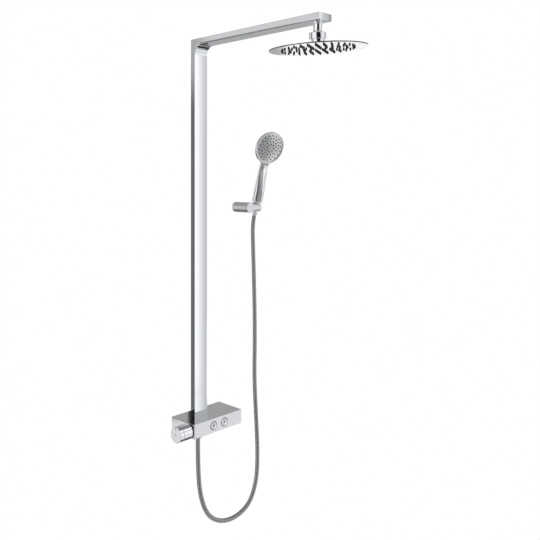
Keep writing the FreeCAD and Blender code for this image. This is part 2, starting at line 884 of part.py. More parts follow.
def arm_outlet_bush():
    """Block inside the arm that the overhead shower's nipple screws into."""
    half_x = riser_width / 2 - riser_wall - spigot_gap
    low = arm_under + riser_wall + spigot_gap
    high = arm_top - riser_wall - spigot_gap
    block = box(-half_x, half_x, head_axis_y - bush_length / 2, head_axis_y + bush_length / 2, low, high)
    axis = Vector(0, head_axis_y, low)
    return drilled(block, [rod(nipple_stem_r + seat_gap, axis - Z * overrun, axis + Z * riser_thick)])


def head_ball_nipple():
    """Fixed nipple under the arm, ending in the ball that the overhead shower swivels on."""
    groove = nipple_ring_drop + nipple_groove_width
    profile = [
        (0, -nipple_stem_length),
        (nipple_stem_r, -nipple_stem_length),
        (nipple_stem_r, 0),
        (nipple_ring_r, 0),
        (nipple_ring_r, nipple_ring_drop),
        (nipple_groove_r, nipple_ring_drop),
        (nipple_groove_r, groove),
        (nipple_neck_r, groove),
        (nipple_neck_r, nipple_neck_drop - nipple_neck_edge),
        (nipple_neck_r - nipple_neck_edge, nipple_neck_drop),
        (nipple_throat_r, nipple_neck_drop),
        (nipple_throat_r, ball_drop),
        (0, ball_drop),
    ]
    base = Vector(0, head_axis_y, arm_under)
    ball = Part.makeSphere(ball_r, ball_centre)
    top = base + Z * (nipple_stem_length + overrun)
    water = rod(nipple_bore_r, top, ball_centre - Z * (ball_r + overrun))
    return drilled(joined([turned(profile, base, -Z), ball]), [water])


def ball_seat():
    """Spherical bearing ring between the ball and the overhead shower's socket."""
    shell = Part.makeSphere(ball_seat_r, ball_centre).cut(Part.makeSphere(ball_r + run_gap, ball_centre))
    return shell.common(rod(ball_nut_r, ball_centre - Z * ball_seat_half, ball_centre + Z * ball_seat_half))


def head_ball_nut():
    """Round nut that traps the ball, open above so that it can lean."""
    profile = [
        (0, ball_nut_bottom),
        (ball_nut_r - ball_nut_chamfer, ball_nut_bottom),
        (ball_nut_r, ball_nut_bottom + ball_nut_chamfer),
        (ball_nut_r, ball_nut_top - ball_nut_edge),
        (ball_nut_r - ball_nut_edge, ball_nut_top),
        (0, ball_nut_top),
    ]
    thread = rod(socket_spigot_r + seat_gap, ball_centre + Z * (ball_nut_bottom - overrun),
                 ball_centre + Z * (socket_spigot_top + seat_gap))
    return drilled(turned(profile, ball_centre), [Part.makeSphere(cup_r, ball_centre), thread])


def head_socket():
    """Lower cup of the ball joint and the foot that the spray disc hangs from."""
    profile = [
        (0, socket_bottom),
        (socket_foot_r, socket_bottom),
        (socket_foot_r, socket_step),
        (socket_collar_r, socket_step),
        (socket_collar_r, ball_nut_bottom),
        (socket_spigot_r, ball_nut_bottom),
        (socket_spigot_r, socket_spigot_top),
        (0, socket_spigot_top),
    ]
    water = rod(socket_bore_r, ball_centre, ball_centre + Z * (socket_bottom - overrun))
    return drilled(turned(profile, ball_centre), [Part.makeSphere(cup_r, ball_centre), water])


def head_top_shell():
    """Thin upper disc with a rim that the nozzle plate sits in."""
    under = socket_bottom - disc_shell_thick
    plate_top = disc_bottom + disc_plate_thick
    lip = disc_r - disc_lip_width
    profile = [
        (socket_bore_r, under),
        (lip - disc_seat_width, under),
        (lip - disc_seat_width, plate_top),
        (lip, plate_top),
        (lip, disc_bottom),
        (disc_r - disc_edge, disc_bottom),
        (disc_r, disc_bottom + disc_edge),
        (disc_r, socket_bottom - disc_edge),
        (disc_r - disc_edge, socket_bottom),
        (socket_bore_r, socket_bottom),
    ]
    return turned(profile, ball_centre)


def head_nozzle_plate():
    """Flat plate that carries the nozzles, let into the upper disc's rim."""
    radius = disc_r - disc_lip_width - seat_gap
    low = ball_centre + Z * disc_bottom
    return rod(radius, low, low + Z * disc_plate_thick)


def head_nozzles():
    """Rings of rubber nozzles under the plate."""
    nub = frustum(nozzle_sides, head_nozzle_base_r, head_nozzle_tip_r, head_nozzle_length)
    steps = range(1, head_nozzle_rings + 1)
    radii = [head_nozzle_field_r * step / head_nozzle_rings for step in steps]
    counts = [head_nozzle_first_count * step for step in steps]
    place = Placement(ball_centre + Z * disc_bottom, Rotation(X, 180))
    return nozzle_field(nub, radii, counts, place)


def leaning(shape):
    """Overhead piece turned about the ball to the lean that it rests at."""
    shape.rotate(ball_centre, Y, head_rest_tilt_deg)
    return shape


def holder_grub_spot():
    """Point on the holder's axis above its grub screw."""
    return holder_axis - Y * holder_grub_set


def handset_holder():
    """Round post with a cross piece, bored to a cone and slotted at its end for the hose."""
    front = holder_post_length
    profile = [
        (0, holder_cavity_depth),
        (holder_cavity_r, holder_cavity_depth),
        (holder_cavity_r, 0),
        (holder_post_r, 0),
        (holder_post_r, front - holder_post_edge),
        (holder_post_r - holder_post_edge, front),
        (0, front),
    ]
    post = turned(profile, holder_axis, -Y)
    room = rod(holder_cavity_r, holder_axis - Y * holder_cavity_depth, holder_axis + Y * overrun)
    cross_profile = [
        (0, 0),
        (cross_r, 0),
        (cross_r, cross_reach - cross_edge),
        (cross_r - cross_edge, cross_reach),
        (0, cross_reach),
    ]
    cross = turned(cross_profile, holder_axis - Y * cross_set, X)
    slot_half = hose_r + 2 * free_gap
    slot = box(0, cross_reach, -slot_half, slot_half, -holder_post_r - overrun, holder_post_r + overrun)
    slot.Placement = Placement(seat_centre, Rotation(X, handset_tilt_deg))
    outline = [(radius + free_gap, height) for radius, height in cone_outline()]
    low = (cone_bottom_r + free_gap, -holder_post_r - overrun)
    high = (cone_top_r + free_gap, holder_post_r + overrun)
    seat = turned([(0, low[1]), low] + outline[1:] + [high, (0, high[1])])
    seat.Placement = handset_place
    spot = holder_grub_spot()
    grub_hole = rod(grub_screw_r + seat_gap, spot, spot - Z * (holder_post_r + overrun))
    return drilled(joined([post, cross]), [room, slot, seat, grub_hole])


def cone_outline():
    """Outside of the hose's tapered nut, from its foot up."""
    return [
        (cone_bottom_r, cone_bottom),
        (cone_toe_r, cone_toe),
        (cone_waist_r, cone_waist),
        (cone_top_r, cone_top),
    ]


def holder_wall_base():
    """Plug inside the post, screwed to the wall by two holes."""
    disc = rod(holder_cavity_r - seat_gap, holder_axis - Y * holder_base_thick, holder_axis)
    holes = []
    for side in (-1, 1):
        spot = holder_axis + X * (side * holder_hole_spacing / 2)
        holes.append(rod(holder_hole_r, spot - Y * (holder_base_thick + overrun), spot + Y * overrun))
    spot = holder_grub_spot()
    bite = holder_cavity_r - holder_grub_bite - seat_gap
    holes.append(rod(grub_screw_r + seat_gap, spot - Z * (holder_cavity_r + overrun), spot - Z * bite))
    return drilled(disc, holes)


def holder_grub_screw():
    """Grub screw that locks the post on its wall base."""
    spot = holder_grub_spot()
    bite = holder_cavity_r - holder_grub_bite
    return rod(grub_screw_r, spot - Z * bite, spot - Z * (holder_post_r - holder_post_edge))


def handset_shell():
    """Handle lofted from a round foot to a wide neck, joined to the domed back of the spray head."""
    sections = []
    rows = zip(handle_station_shares, handle_width_shares, handle_depth_shares, handle_shift_shares)
    for station, width, depth, shift in rows:
        centre = Vector(0, shift * handle_bottom_r, handle_start + station * handle_length)
        ends = (centre + X * (width * handle_bottom_r), centre + Y * (depth * handle_bottom_r))
        sections.append(Part.Wire(Part.Ellipse(*ends, centre).toShape()))
    handle = Part.makeLoft(sections, True, False)
    seat_r = face_r - face_rim_width
    back_r = face_r - face_shell_margin
    floor = -face_plate_set - face_plate_thick
    apex = Vector(0, 0, -face_rim_depth - dome_depth)
    rim = Vector(back_r, 0, -face_rim_depth)
    outline = [
        Vector(0, 0, floor),
        Vector(seat_r, 0, floor),
        Vector(seat_r, 0, -face_rim_depth),
        rim,
    ]
    edges = Part.makePolygon(outline).Edges
    dome = Part.Ellipse(rim, apex, Z * -face_rim_depth)
    edges += [Part.ArcOfEllipse(dome, 0, math.pi / 2).toShape()]
    edges += [Part.LineSegment(apex, outline[0]).toShape()]
    face = Part.Face(Part.Wire(Part.__sortEdges__(edges)))
    head = face.revolve(Vector(), Z, 360)
    head.Placement = face_place
    socket_top = handle_start + insert_depth + seat_gap
    socket = rod(insert_r + seat_gap, Z * (handle_start - overrun), Z * socket_top)
    front = rod(face_r, Z * -face_rim_depth, Z * handle_length)
    front = front.cut(rod(seat_r, Z * -face_rim_depth, Z * floor))
    front.Placement = face_place
    return placed(drilled(joined([drilled(handle, [front]), head]), [socket]))


def placed(shape):
    """Handset piece moved from its own axis to where it hangs in the holder."""
    shape.Placement = handset_place * shape.Placement
    return shape


def handset_rim():
    """Bright ring round the handset's face."""
    inner = face_r - face_rim_width + seat_gap
    profile = [
        (inner, -face_rim_depth),
        (face_r, -face_rim_depth),
        (face_r, -face_rim_edge),
        (face_r - face_rim_edge, 0),
        (inner + face_rim_edge, 0),
        (inner, -face_rim_edge),
    ]
    ring = turned(profile)
    ring.Placement = face_place
    return placed(ring)


def handset_face_plate():
    """Flat spray plate inside the rim."""
    plate = rod(face_r - face_rim_width, Z * (-face_plate_set - face_plate_thick), Z * -face_plate_set)
    plate.Placement = face_place
    return placed(plate)


def handset_nozzles():
    """Rings of small rubber nozzles on the spray plate."""
    nub = frustum(nozzle_sides, face_nozzle_base_r, face_nozzle_tip_r, face_nozzle_length)
    front = face_place * Placement(Z * -face_plate_set, Rotation())
    return nozzle_field(nub, face_nozzle_radii, face_nozzle_counts, handset_place * front)


def handset_thread_insert():
    """Threaded tail of the handset that the hose screws onto."""
    return placed(sleeve(insert_r, insert_bore_r, insert_bottom, handle_start + insert_depth))


def hose_cone_nut():
    """Tapered nut of the hose, which rests in the holder."""
    bore = insert_r + seat_gap
    neck = ferrule_r + free_gap
    shoulder = nut_shoulder() - free_gap
    inside = [(bore, cone_top), (bore, shoulder), (neck, shoulder), (neck, cone_bottom)]
    return placed(turned(cone_outline() + inside))


def nut_shoulder():
    """Height of the underside of the ferrule's flange inside the cone nut."""
    return insert_bottom - run_gap - washer_thick - ferrule_flange_thick


def hose_upper_washer():
    """Seal between the handset's tail and the hose."""
    top = insert_bottom - run_gap
    return placed(sleeve(washer_r, washer_bore_r, top - washer_thick, top))


def ferrule_profile(flange_low, flange_high, tip):
    """Flanged sleeve crimped on a hose end: flange between two heights, tube down to its tip."""
    return [
        (ferrule_bore_r, tip),
        (ferrule_r, tip),
        (ferrule_r, flange_low),
        (ferrule_flange_r, flange_low),
        (ferrule_flange_r, flange_high),
        (ferrule_bore_r, flange_high),
    ]


def hose_upper_ferrule():
    """End of the hose that turns inside the cone nut."""
    low = nut_shoulder()
    return placed(turned(ferrule_profile(low, low + ferrule_flange_thick, cone_bottom - ferrule_reach)))


def hose_outlet_nipple():
    """Threaded outlet under the mixer, flanged against the casing."""
    profile = [
        (outlet_bore_r, mixer_wall + outlet_stem_up),
        (outlet_stem_r, mixer_wall + outlet_stem_up),
        (outlet_stem_r, 0),
        (outlet_flange_r, 0),
        (outlet_flange_r, -outlet_flange_thick),
        (outlet_stem_r, -outlet_flange_thick),
        (outlet_stem_r, outlet_bottom()),
        (outlet_bore_r, outlet_bottom()),
    ]
    return turned(profile, outlet)


def outlet_bottom():
    """Height of the outlet's lower end below the mixer."""
    return -outlet_flange_thick - outlet_thread_length


def lower_nut_end():
    """Height of the lower nut's bottom below the mixer."""
    return -outlet_flange_thick - lower_nut_gap - lower_nut_length


def hose_lower_washer():
    """Seal between the outlet and the hose."""
    top = outlet_bottom()
    return sleeve(washer_r, washer_bore_r, top - washer_thick, top, outlet)


def hose_lower_ferrule():
    """End of the hose under the mixer."""
    high = outlet_bottom() - washer_thick
    return turned(ferrule_profile(high - ferrule_flange_thick, high, lower_nut_end() - ferrule_reach), outlet)


def hose_lower_nut():
    """Round nut that holds the hose on the outlet."""
    top = -outlet_flange_thick - lower_nut_gap
    bore = outlet_stem_r + seat_gap
    neck = ferrule_r + seat_gap
    step = outlet_bottom() - washer_thick - ferrule_flange_thick
    profile = [
        (neck, lower_nut_end()),
        (lower_nut_r - lower_nut_edge, lower_nut_end()),
        (lower_nut_r, lower_nut_end() + lower_nut_edge),
        (lower_nut_r, top - lower_nut_edge),
        (lower_nut_r - lower_nut_edge, top),
        (bore, top),
        (bore, step),
        (neck, step),
    ]
    return turned(profile, outlet)


def hose_route():
    """Corner points of the hose: straight out of each ferrule, and the hand-set points between."""
    start = handset_place.multVec(Z * (cone_bottom - ferrule_reach))
    end = outlet + Z * (lower_nut_end() - ferrule_reach)
    middle = [Vector(*point) for point in hose_points]
    return [start, start + handset_down * hose_lead] + middle + [end - Z * hose_tail, end]


def rounded_runs(points):
    """Straight runs joined by tangent arcs, each as (start, direction, length, turning axis, radius)."""
    runs = []
    here = points[0]
    radii = []
    for before, corner, after in zip(points, points[1:], points[2:]):
        come = (corner - before).normalize()
        leave = (after - corner).normalize()
        turn = come.getAngle(leave)
        shorter = min((corner - before).Length, (after - corner).Length)
        back = arc_share * shorter
        radius = back / math.tan(turn / 2)
        start = corner - come * back
        runs.append((here, come, (start - here).Length, None, None))
        runs.append((start, come, radius * turn, come.cross(leave).normalize(), radius))
        here = corner + leave * back
        radii.append(radius)
    runs.append((here, (points[-1] - here).normalize(), (points[-1] - here).Length, None, None))
    print("hose radii", " ".join("%.0f" % radius for radius in radii))
    return runs


def along(run, distance):
    """Point and direction at a distance along one run or arc."""
    start, way, length, axis, radius = run
    if axis is None:
        return start + way * distance, way
    inward = axis.cross(way)
    turn = Rotation(axis, math.degrees(distance / radius))
    return start + inward * radius - turn.multVec(inward) * radius, turn.multVec(way)


def station(runs, distance):
    """Point and direction at a distance along the whole hose."""
    for run in runs[:-1]:
        if distance <= run[2]:
            return along(run, distance)
        distance -= run[2]
    return along(runs[-1], distance)


def hose_ring(runs, distance, radius):
    """Circle square to the hose, its start always on the side away from the wall."""
    point, way = station(runs, distance)
    side = (way.cross(Y)).cross(way)
    circle = Part.Wire(Part.makeCircle(radius))
    circle.Placement = Placement(point, Rotation(side, way.cross(side), way, "ZXY"))
    return circle


def shower_hose():
    """Ribbed metal hose with an open bore, hanging from the handset to the mixer."""
    runs = rounded_runs(hose_route())
    length = sum(run[2] for run in runs)
    plain_end = 2 * hose_r
    pitch = (length - 2 * plain_end) / hose_ribs
    crests = (hose_valley_r, hose_r, hose_r, hose_valley_r)
    rings = [hose_ring(runs, 0, hose_valley_r)]
    for rib in range(hose_ribs):
        for share, radius in zip(rib_station_shares, crests):
            rings.append(hose_ring(runs, plain_end + (rib + share) * pitch, radius))
    rings += [hose_ring(runs, length - plain_end, hose_valley_r), hose_ring(runs, length, hose_valley_r)]
    edges = []
    for run in runs:
        first, middle, last = [along(run, run[2] * share)[0] for share in (0, 1 / 2, 1)]
        straight = run[3] is None
        curve = Part.LineSegment(first, last) if straight else Part.Arc(first, middle, last)
        edges.append(curve.toShape())
    start, way = station(runs, 0)
    bore_ring = Part.Wire(Part.makeCircle(hose_bore_r, start, way))
    bore = Part.Wire(edges).makePipeShell([bore_ring], True, False)
    tube = Part.makeLoft(rings, True, True)
    print("hose length %.1f" % length)
    plain = math.pi * hose_bore_r**2 * length
    print("hose bore volume %.0f, section times length %.0f" % (bore.Volume, plain))
    return tube.cut(bore)


def pieces():
    """Every piece of the shower by its node name."""
    foot, foot_seal = riser_foot_pieces()
    elbow, elbow_seals = corner_elbow_pieces()
    hot, cold = inlet_bases()
    shapes = {
        "mixer_shell": mixer_shell(),
        "rear_cover": rear_cover(),
        "rear_cover_screws": rear_cover_screws(),
        "valve_body": valve_body(),
        "inlet_union_hot": inlet_union(hot),
        "inlet_union_cold": inlet_union(cold),
        "check_valves": check_valves(),
        "inlet_filters": inlet_filters(),
        "thermostat_cartridge": thermostat_cartridge(),
        "thermostat_stop_ring": thermostat_stop_ring(),
        "knob_collar": knob_collar(),
        "thermostat_spindle": thermostat_spindle(),
        "temperature_knob": temperature_knob(),
        "knob_screw": knob_screw(),
        "knob_end_cap": knob_end_cap(),
        "riser_foot": foot,
        "riser_foot_seal": foot_seal,
        "riser_tube": riser_tube(),
        "riser_wall_plate": riser_wall_plate(),
        "riser_grub_screw": riser_grub_screw(),
        "corner_elbow": elbow,
        "elbow_seals": elbow_seals,
        "arm_tube": arm_tube(),
        "arm_end_cap": arm_end_cap(),
        "arm_outlet_bush": arm_outlet_bush(),
        "head_ball_nipple": head_ball_nipple(),
        "ball_seat": ball_seat(),
        "head_ball_nut": leaning(head_ball_nut()),
        "head_socket": leaning(head_socket()),
        "head_top_shell": leaning(head_top_shell()),
        "head_nozzle_plate": leaning(head_nozzle_plate()),
        "head_nozzles": leaning(head_nozzles()),
        "handset_holder": handset_holder(),
        "holder_wall_base": holder_wall_base(),
        "holder_grub_screw": holder_grub_screw(),
        "handset_shell": handset_shell(),
        "handset_rim": handset_rim(),
        "handset_face_plate": handset_face_plate(),
        "handset_nozzles": handset_nozzles(),
        "handset_thread_insert": handset_thread_insert(),
        "hose_cone_nut": hose_cone_nut(),
        "hose_upper_washer": hose_upper_washer(),
        "hose_upper_ferrule": hose_upper_ferrule(),
        "shower_hose": shower_hose(),
        "hose_lower_ferrule": hose_lower_ferrule(),
        "hose_lower_washer": hose_lower_washer(),
        "hose_lower_nut": hose_lower_nut(),
        "hose_outlet_nipple": hose_outlet_nipple(),
    }
    for name, base in zip(("overhead", "handset"), button_bases()):
        shapes[name + "_button_bezel"] = button_bezel(base)
        shapes[name + "_button_cap"] = button_cap(base)
        shapes[name + "_button_spring"] = button_spring(base)
        shapes[name + "_button_valve"] = button_valve(base)
    return shapes


os.makedirs("parts", exist_ok=True)
for node, shape in pieces().items():
    shape.exportStep("parts/" + node + ".step")
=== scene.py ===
import json
import math

import bmesh
import bpy
import numpy as np
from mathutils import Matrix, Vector


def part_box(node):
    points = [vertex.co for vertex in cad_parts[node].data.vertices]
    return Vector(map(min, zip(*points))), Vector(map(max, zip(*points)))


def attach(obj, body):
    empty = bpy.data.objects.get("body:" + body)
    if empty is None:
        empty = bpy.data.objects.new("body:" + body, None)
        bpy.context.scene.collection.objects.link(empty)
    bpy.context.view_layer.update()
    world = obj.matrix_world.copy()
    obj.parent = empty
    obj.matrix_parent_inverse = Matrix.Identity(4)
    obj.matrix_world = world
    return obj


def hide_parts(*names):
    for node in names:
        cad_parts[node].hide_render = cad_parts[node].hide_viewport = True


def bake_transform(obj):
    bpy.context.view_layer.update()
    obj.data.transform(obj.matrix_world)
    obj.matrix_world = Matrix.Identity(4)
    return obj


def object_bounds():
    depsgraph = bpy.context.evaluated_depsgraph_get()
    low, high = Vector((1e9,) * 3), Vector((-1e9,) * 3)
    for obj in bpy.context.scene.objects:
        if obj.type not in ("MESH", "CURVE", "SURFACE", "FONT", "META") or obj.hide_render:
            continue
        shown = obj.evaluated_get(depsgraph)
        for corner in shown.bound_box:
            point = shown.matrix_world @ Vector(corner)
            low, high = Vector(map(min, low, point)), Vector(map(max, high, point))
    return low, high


bl_info = {
    "name": "Thermostatic Shower Column",
    "version": (1, 0, 0),
    "blender": (4, 5, 0),
    "location": "3D View > Sidebar > Shower",
    "description": "Dresses the shower column's frame with finished pieces, materials and a plain studio",
    "category": "Object",
}

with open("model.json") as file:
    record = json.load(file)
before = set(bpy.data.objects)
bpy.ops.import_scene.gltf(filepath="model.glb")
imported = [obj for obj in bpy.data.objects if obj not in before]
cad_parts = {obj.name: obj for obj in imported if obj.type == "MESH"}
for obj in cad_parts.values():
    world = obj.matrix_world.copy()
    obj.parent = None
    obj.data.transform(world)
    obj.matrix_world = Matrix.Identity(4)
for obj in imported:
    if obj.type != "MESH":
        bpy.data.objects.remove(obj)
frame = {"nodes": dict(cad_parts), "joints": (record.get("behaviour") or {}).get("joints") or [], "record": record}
cad_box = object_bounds()
nodes = frame["nodes"]
joints = {joint["name"]: joint for joint in frame["joints"]}
MM = 0.001
TAU = math.tau

# Angles in degrees past which an edge shades sharp: turned and formed metal, the handset's skin, soft
# nozzles, and wound wire and strip.
METAL_CREASE = 30.0
SKIN_CREASE = 40.0
NUB_CREASE = 50.0
WOUND_CREASE = 60.0

# A turned piece has no points nearer to its axis than this, apart from those on it.
AXIS_GAP = 0.3 * MM


def linear(hex_colour):
    """Linear RGBA of an sRGB hex colour."""
    shares = [int(hex_colour[i:i + 2], 16) / 255 for i in (1, 3, 5)]
    return [s / 12.92 if s <= 0.04045 else ((s + 0.055) / 1.055) ** 2.4 for s in shares] + [1.0]


def size_mm(label, words, default):
    """A length property in metres, from a default in millimetres."""
    return bpy.props.FloatProperty(
        name=label, description=words, default=default * MM, unit="LENGTH", precision=5)


def colour(label, words, hex_colour):
    """A colour property from an sRGB hex value."""
    return bpy.props.FloatVectorProperty(
        name=label, description=words, default=linear(hex_colour), size=4, subtype="COLOR", min=0, max=1)


class ShowerSizes(bpy.types.PropertyGroup):
    """Sizes that the dressed pieces add to the frame's own."""

    hose_diameter: size_mm("Hose diameter", "Outside of the hose's strip", 13.0)
    hose_pitch: size_mm("Hose pitch", "Advance of the hose's strip in one turn", 2.6)
    hose_groove: size_mm("Hose groove", "Depth of the groove between two turns of strip", 0.45)
    tube_edge: size_mm("Tube edge", "Rounding along the upper edges of the arm", 0.6)
    column_edge: size_mm("Column edge", "Rounding along the edges of the column", 0.3)
    arm_edge: size_mm("Arm edge", "Rounding along the lower edges of the arm", 3.2)
    foot_flare: size_mm("Foot flare", "How far the column's front stands out at its foot", 0.73)
    cap_crown: size_mm("Cap crown", "How far the cover on the arm's end swells in the middle", 1.3)
    tube_crown: size_mm("Tube crown", "How far the column's front swells in the middle", 0.8)
    knob_edge: size_mm("Knob edge", "Rounding round the ends of the knob", 0.7)
    disc_edge: size_mm("Disc edge", "Rounding round the overhead disc", 0.3)
    plate_swell: size_mm("Plate swell", "How far the handset's spray plate swells in the middle", 2.6)
    sign_line: size_mm("Sign line", "Width of a printed line of unit weight on the buttons", 1.0)


class ShowerColours(bpy.types.PropertyGroup):
    """Colours of the finishes."""

    chrome: colour("Chrome", "Polished plating on brass and steel", "#F3F5F8")
    plated_abs: colour("Plated ABS", "Polished plating on moulded pieces", "#F1F3F6")
    strip: colour("Hose strip", "Stainless strip of the hose", "#A8ABAE")
    face: colour("Spray face", "Satin plated spray plate", "#DCDEE0")
    silicone: colour("Silicone", "Soft nozzles", "#282A2C")
    ink: colour("Ink", "Signs printed on the buttons", "#1B1D1F")
    black_plastic: colour("Black plastic", "Moulded cover against the wall", "#1C1D1E")
    brass: colour("Brass", "Bare machined brass", "#B08D4C")
    steel: colour("Steel", "Plain steel of brackets and screws", "#8B8D8F")
    rubber: colour("Rubber", "Seals and washers", "#151515")
    floor: colour("Floor", "Pale studio floor", "#F2F2F2")


def sizes():
    """The scene's size settings."""
    return bpy.context.scene.shower_sizes


def colours():
    """The scene's colour settings."""
    return bpy.context.scene.shower_colours


def unit(vector):
    """Vector of length 1 in the same direction."""
    vector = np.asarray(vector, float)
    return vector / np.linalg.norm(vector)


# Surfaces on grids

def quads(rows, columns, wrap_rows=False, wrap_columns=False):
    """Corner numbers of every cell of a grid, with either direction closed on itself."""
    r = np.arange(rows if wrap_rows else rows - 1)[:, None]
    c = np.arange(columns if wrap_columns else columns - 1)[None, :]
    below, right = (r + 1) % rows, (c + 1) % columns
    corners = (r * columns + c, r * columns + right, below * columns + right, below * columns + c)
    return np.stack(np.broadcast_arrays(*corners), axis=-1).reshape(-1, 4)


def tube_grid(points):
    """Grid whose columns close on themselves."""
    return points, quads(points.shape[0], points.shape[1], wrap_columns=True)


def patch_grid(points):
    """Grid that is open on all four sides."""
    return points, quads(points.shape[0], points.shape[1])


def placed(name, data):
    """New object of some data, in the scene."""
    thing = bpy.data.objects.new(name, data)
    bpy.context.scene.collection.objects.link(thing)
    return thing


def piece(name, grids, material, body, crease_deg=35.0, replaces=()):
    """Mesh object from one or more grids, with doubled points merged and faces pointing outwards."""
    points = np.concatenate([p.reshape(-1, 3) for p, _ in grids])
    starts = np.cumsum([0] + [p.shape[0] * p.shape[1] for p, _ in grids[:-1]])
    cells = np.concatenate([faces + start for (_, faces), start in zip(grids, starts)])
    mesh = bpy.data.meshes.new(name)
    mesh.vertices.add(len(points))
    mesh.vertices.foreach_set("co", points.ravel())
    mesh.loops.add(cells.size)
    mesh.loops.foreach_set("vertex_index", cells.ravel())
    mesh.polygons.add(len(cells))
    mesh.polygons.foreach_set("loop_start", np.arange(0, cells.size, 4))
    mesh.update(calc_edges=True)
    work = bmesh.new()
    work.from_mesh(mesh)
    bmesh.ops.remove_doubles(work, verts=work.verts, dist=1e-6)
    bmesh.ops.recalc_face_normals(work, faces=work.faces)
    work.to_mesh(mesh)
    work.free()
    mesh.shade_smooth()
    mesh.set_sharp_from_angle(angle=math.radians(crease_deg))
    mesh.materials.append(material)
    thing = placed(name, mesh)
    if body:
        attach(thing, body)
    if replaces:
        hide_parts(*replaces)
    return thing


def rounded(corners, steps=5):
    """Outline through (across, along, radius) corners, each turned into an arc of its radius."""
    corners = np.asarray(corners, float)
    out = []
    for i, (x, y, radius) in enumerate(corners):
        here = np.array([x, y])
        if radius == 0 or i in (0, len(corners) - 1):
            out.append(here[None])
            continue
        a = unit(corners[i - 1, :2] - here)
        b = unit(corners[i + 1, :2] - here)
        half = math.acos(np.clip(a @ b, -1, 1)) / 2
        centre = here + unit(a + b) * radius / math.sin(half)
        first = here + a * radius / math.tan(half) - centre
        last = here + b * radius / math.tan(half) - centre
        turn = math.pi - 2 * half
        share = np.linspace(0, 1, steps + 1)[:, None]
        arc = (np.sin((1 - share) * turn) * first + np.sin(share * turn) * last) / math.sin(turn)
        out.append(centre + arc)
    return np.concatenate(out)


def supported(outline, reach=0.15 * MM):
    """Outline with a point near both ends of every long side, so that shading turns only at its corners."""
    outline = np.asarray(outline, float)
    side = np.diff(outline, axis=0)
    length = np.linalg.norm(side, axis=1)
    step = side * (reach / np.maximum(length, reach))[:, None]
    rows = np.stack([outline[:-1], outline[:-1] + step, outline[1:] - step], axis=1)
    keep = np.stack([length >= 0, length > 4 * reach, length > 4 * reach], axis=1)
    return np.concatenate([rows[keep], outline[-1:]])


def turned(profile, base, axis, segments=96):
    """(radius, height) outline about an axis: base + height * axis + radius * (cos a * u + sin a * v).
    Points beside the axis that are too close to it to shade cleanly are left out."""
    profile = supported(profile)
    profile = profile[(profile[:, 0] < 1e-9) | (profile[:, 0] > AXIS_GAP)]
    axis = unit(axis)
    helper = np.array([0.0, 0.0, 1.0]) if abs(axis[2]) < 0.9 else np.array([1.0, 0.0, 0.0])
    u = unit(np.cross(helper, axis))
    v = np.cross(axis, u)
    a = np.linspace(0, TAU, segments, endpoint=False)[:, None]
    ring = np.cos(a) * u + np.sin(a) * v
    radius, height = profile[:, 0, None, None], profile[:, 1, None, None]
    return tube_grid(np.asarray(base, float) + height * axis + radius * ring)


def ring(corners, steps=5):
    """Rounded outline that closes on its own first corner, for a turned ring."""
    return rounded([*corners, corners[0]], steps)


def repeated(grid, places):
    """The same grid once at each of several places."""
    points, faces = grid
    count = points.shape[0] * points.shape[1]
    many = points[None] + np.asarray(places)[:, None, None, :]
    cells = faces[None] + (np.arange(len(places)) * count)[:, None, None]
    return many.reshape(-1, points.shape[1], 3), cells.reshape(-1, 4)


def ring_places(radii, counts, centre, u, v):
    """Places on rings about a centre, every second ring turned by half a step:
    centre + radius * (cos a * u + sin a * v), with a = tau * (step + ring / 2) / count."""
    number = np.repeat(np.arange(len(counts)), counts)
    step = np.arange(sum(counts)) - np.repeat(np.cumsum([0, *counts[:-1]]), counts)
    a = (TAU * (step + number / 2) / np.asarray(counts)[number])[:, None]
    radius = np.asarray(radii)[number][:, None]
    return centre + radius * (np.cos(a) * u + np.sin(a) * v)


def smooth(value, low, high):
    """Smooth rise from 0 to 1 between two limits: 3 s^2 - 2 s^3."""
    s = np.clip((value - low) / (high - low), 0, 1)
    return s * s * (3 - 2 * s)


def larger(a, b, softness):
    """The larger of two values, rounded over where they meet: (a + b + sqrt((a - b)^2 + softness^2)) / 2."""
    return (a + b + np.sqrt((a - b) ** 2 + softness ** 2)) / 2


def corners_of(node):
    """Lowest and highest corner of a frame node as arrays."""
    low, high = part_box(node)
    return np.array(low), np.array(high)


# Materials

def bare_tree(owner):
    """The emptied node tree of a material or a world."""
    owner.use_nodes = True
    owner.node_tree.nodes.clear()
    return owner.node_tree


def add_node(tree, kind, inputs=None, **settings):
    """Adds one node, sets its properties, and fills or links its inputs."""
    node = tree.nodes.new(kind)
    for key, value in settings.items():
        setattr(node, key, value)
    for key, value in (inputs or {}).items():
        if isinstance(value, bpy.types.NodeSocket):
            tree.links.new(value, node.inputs[key])
        else:
            node.inputs[key].default_value = value
    return node


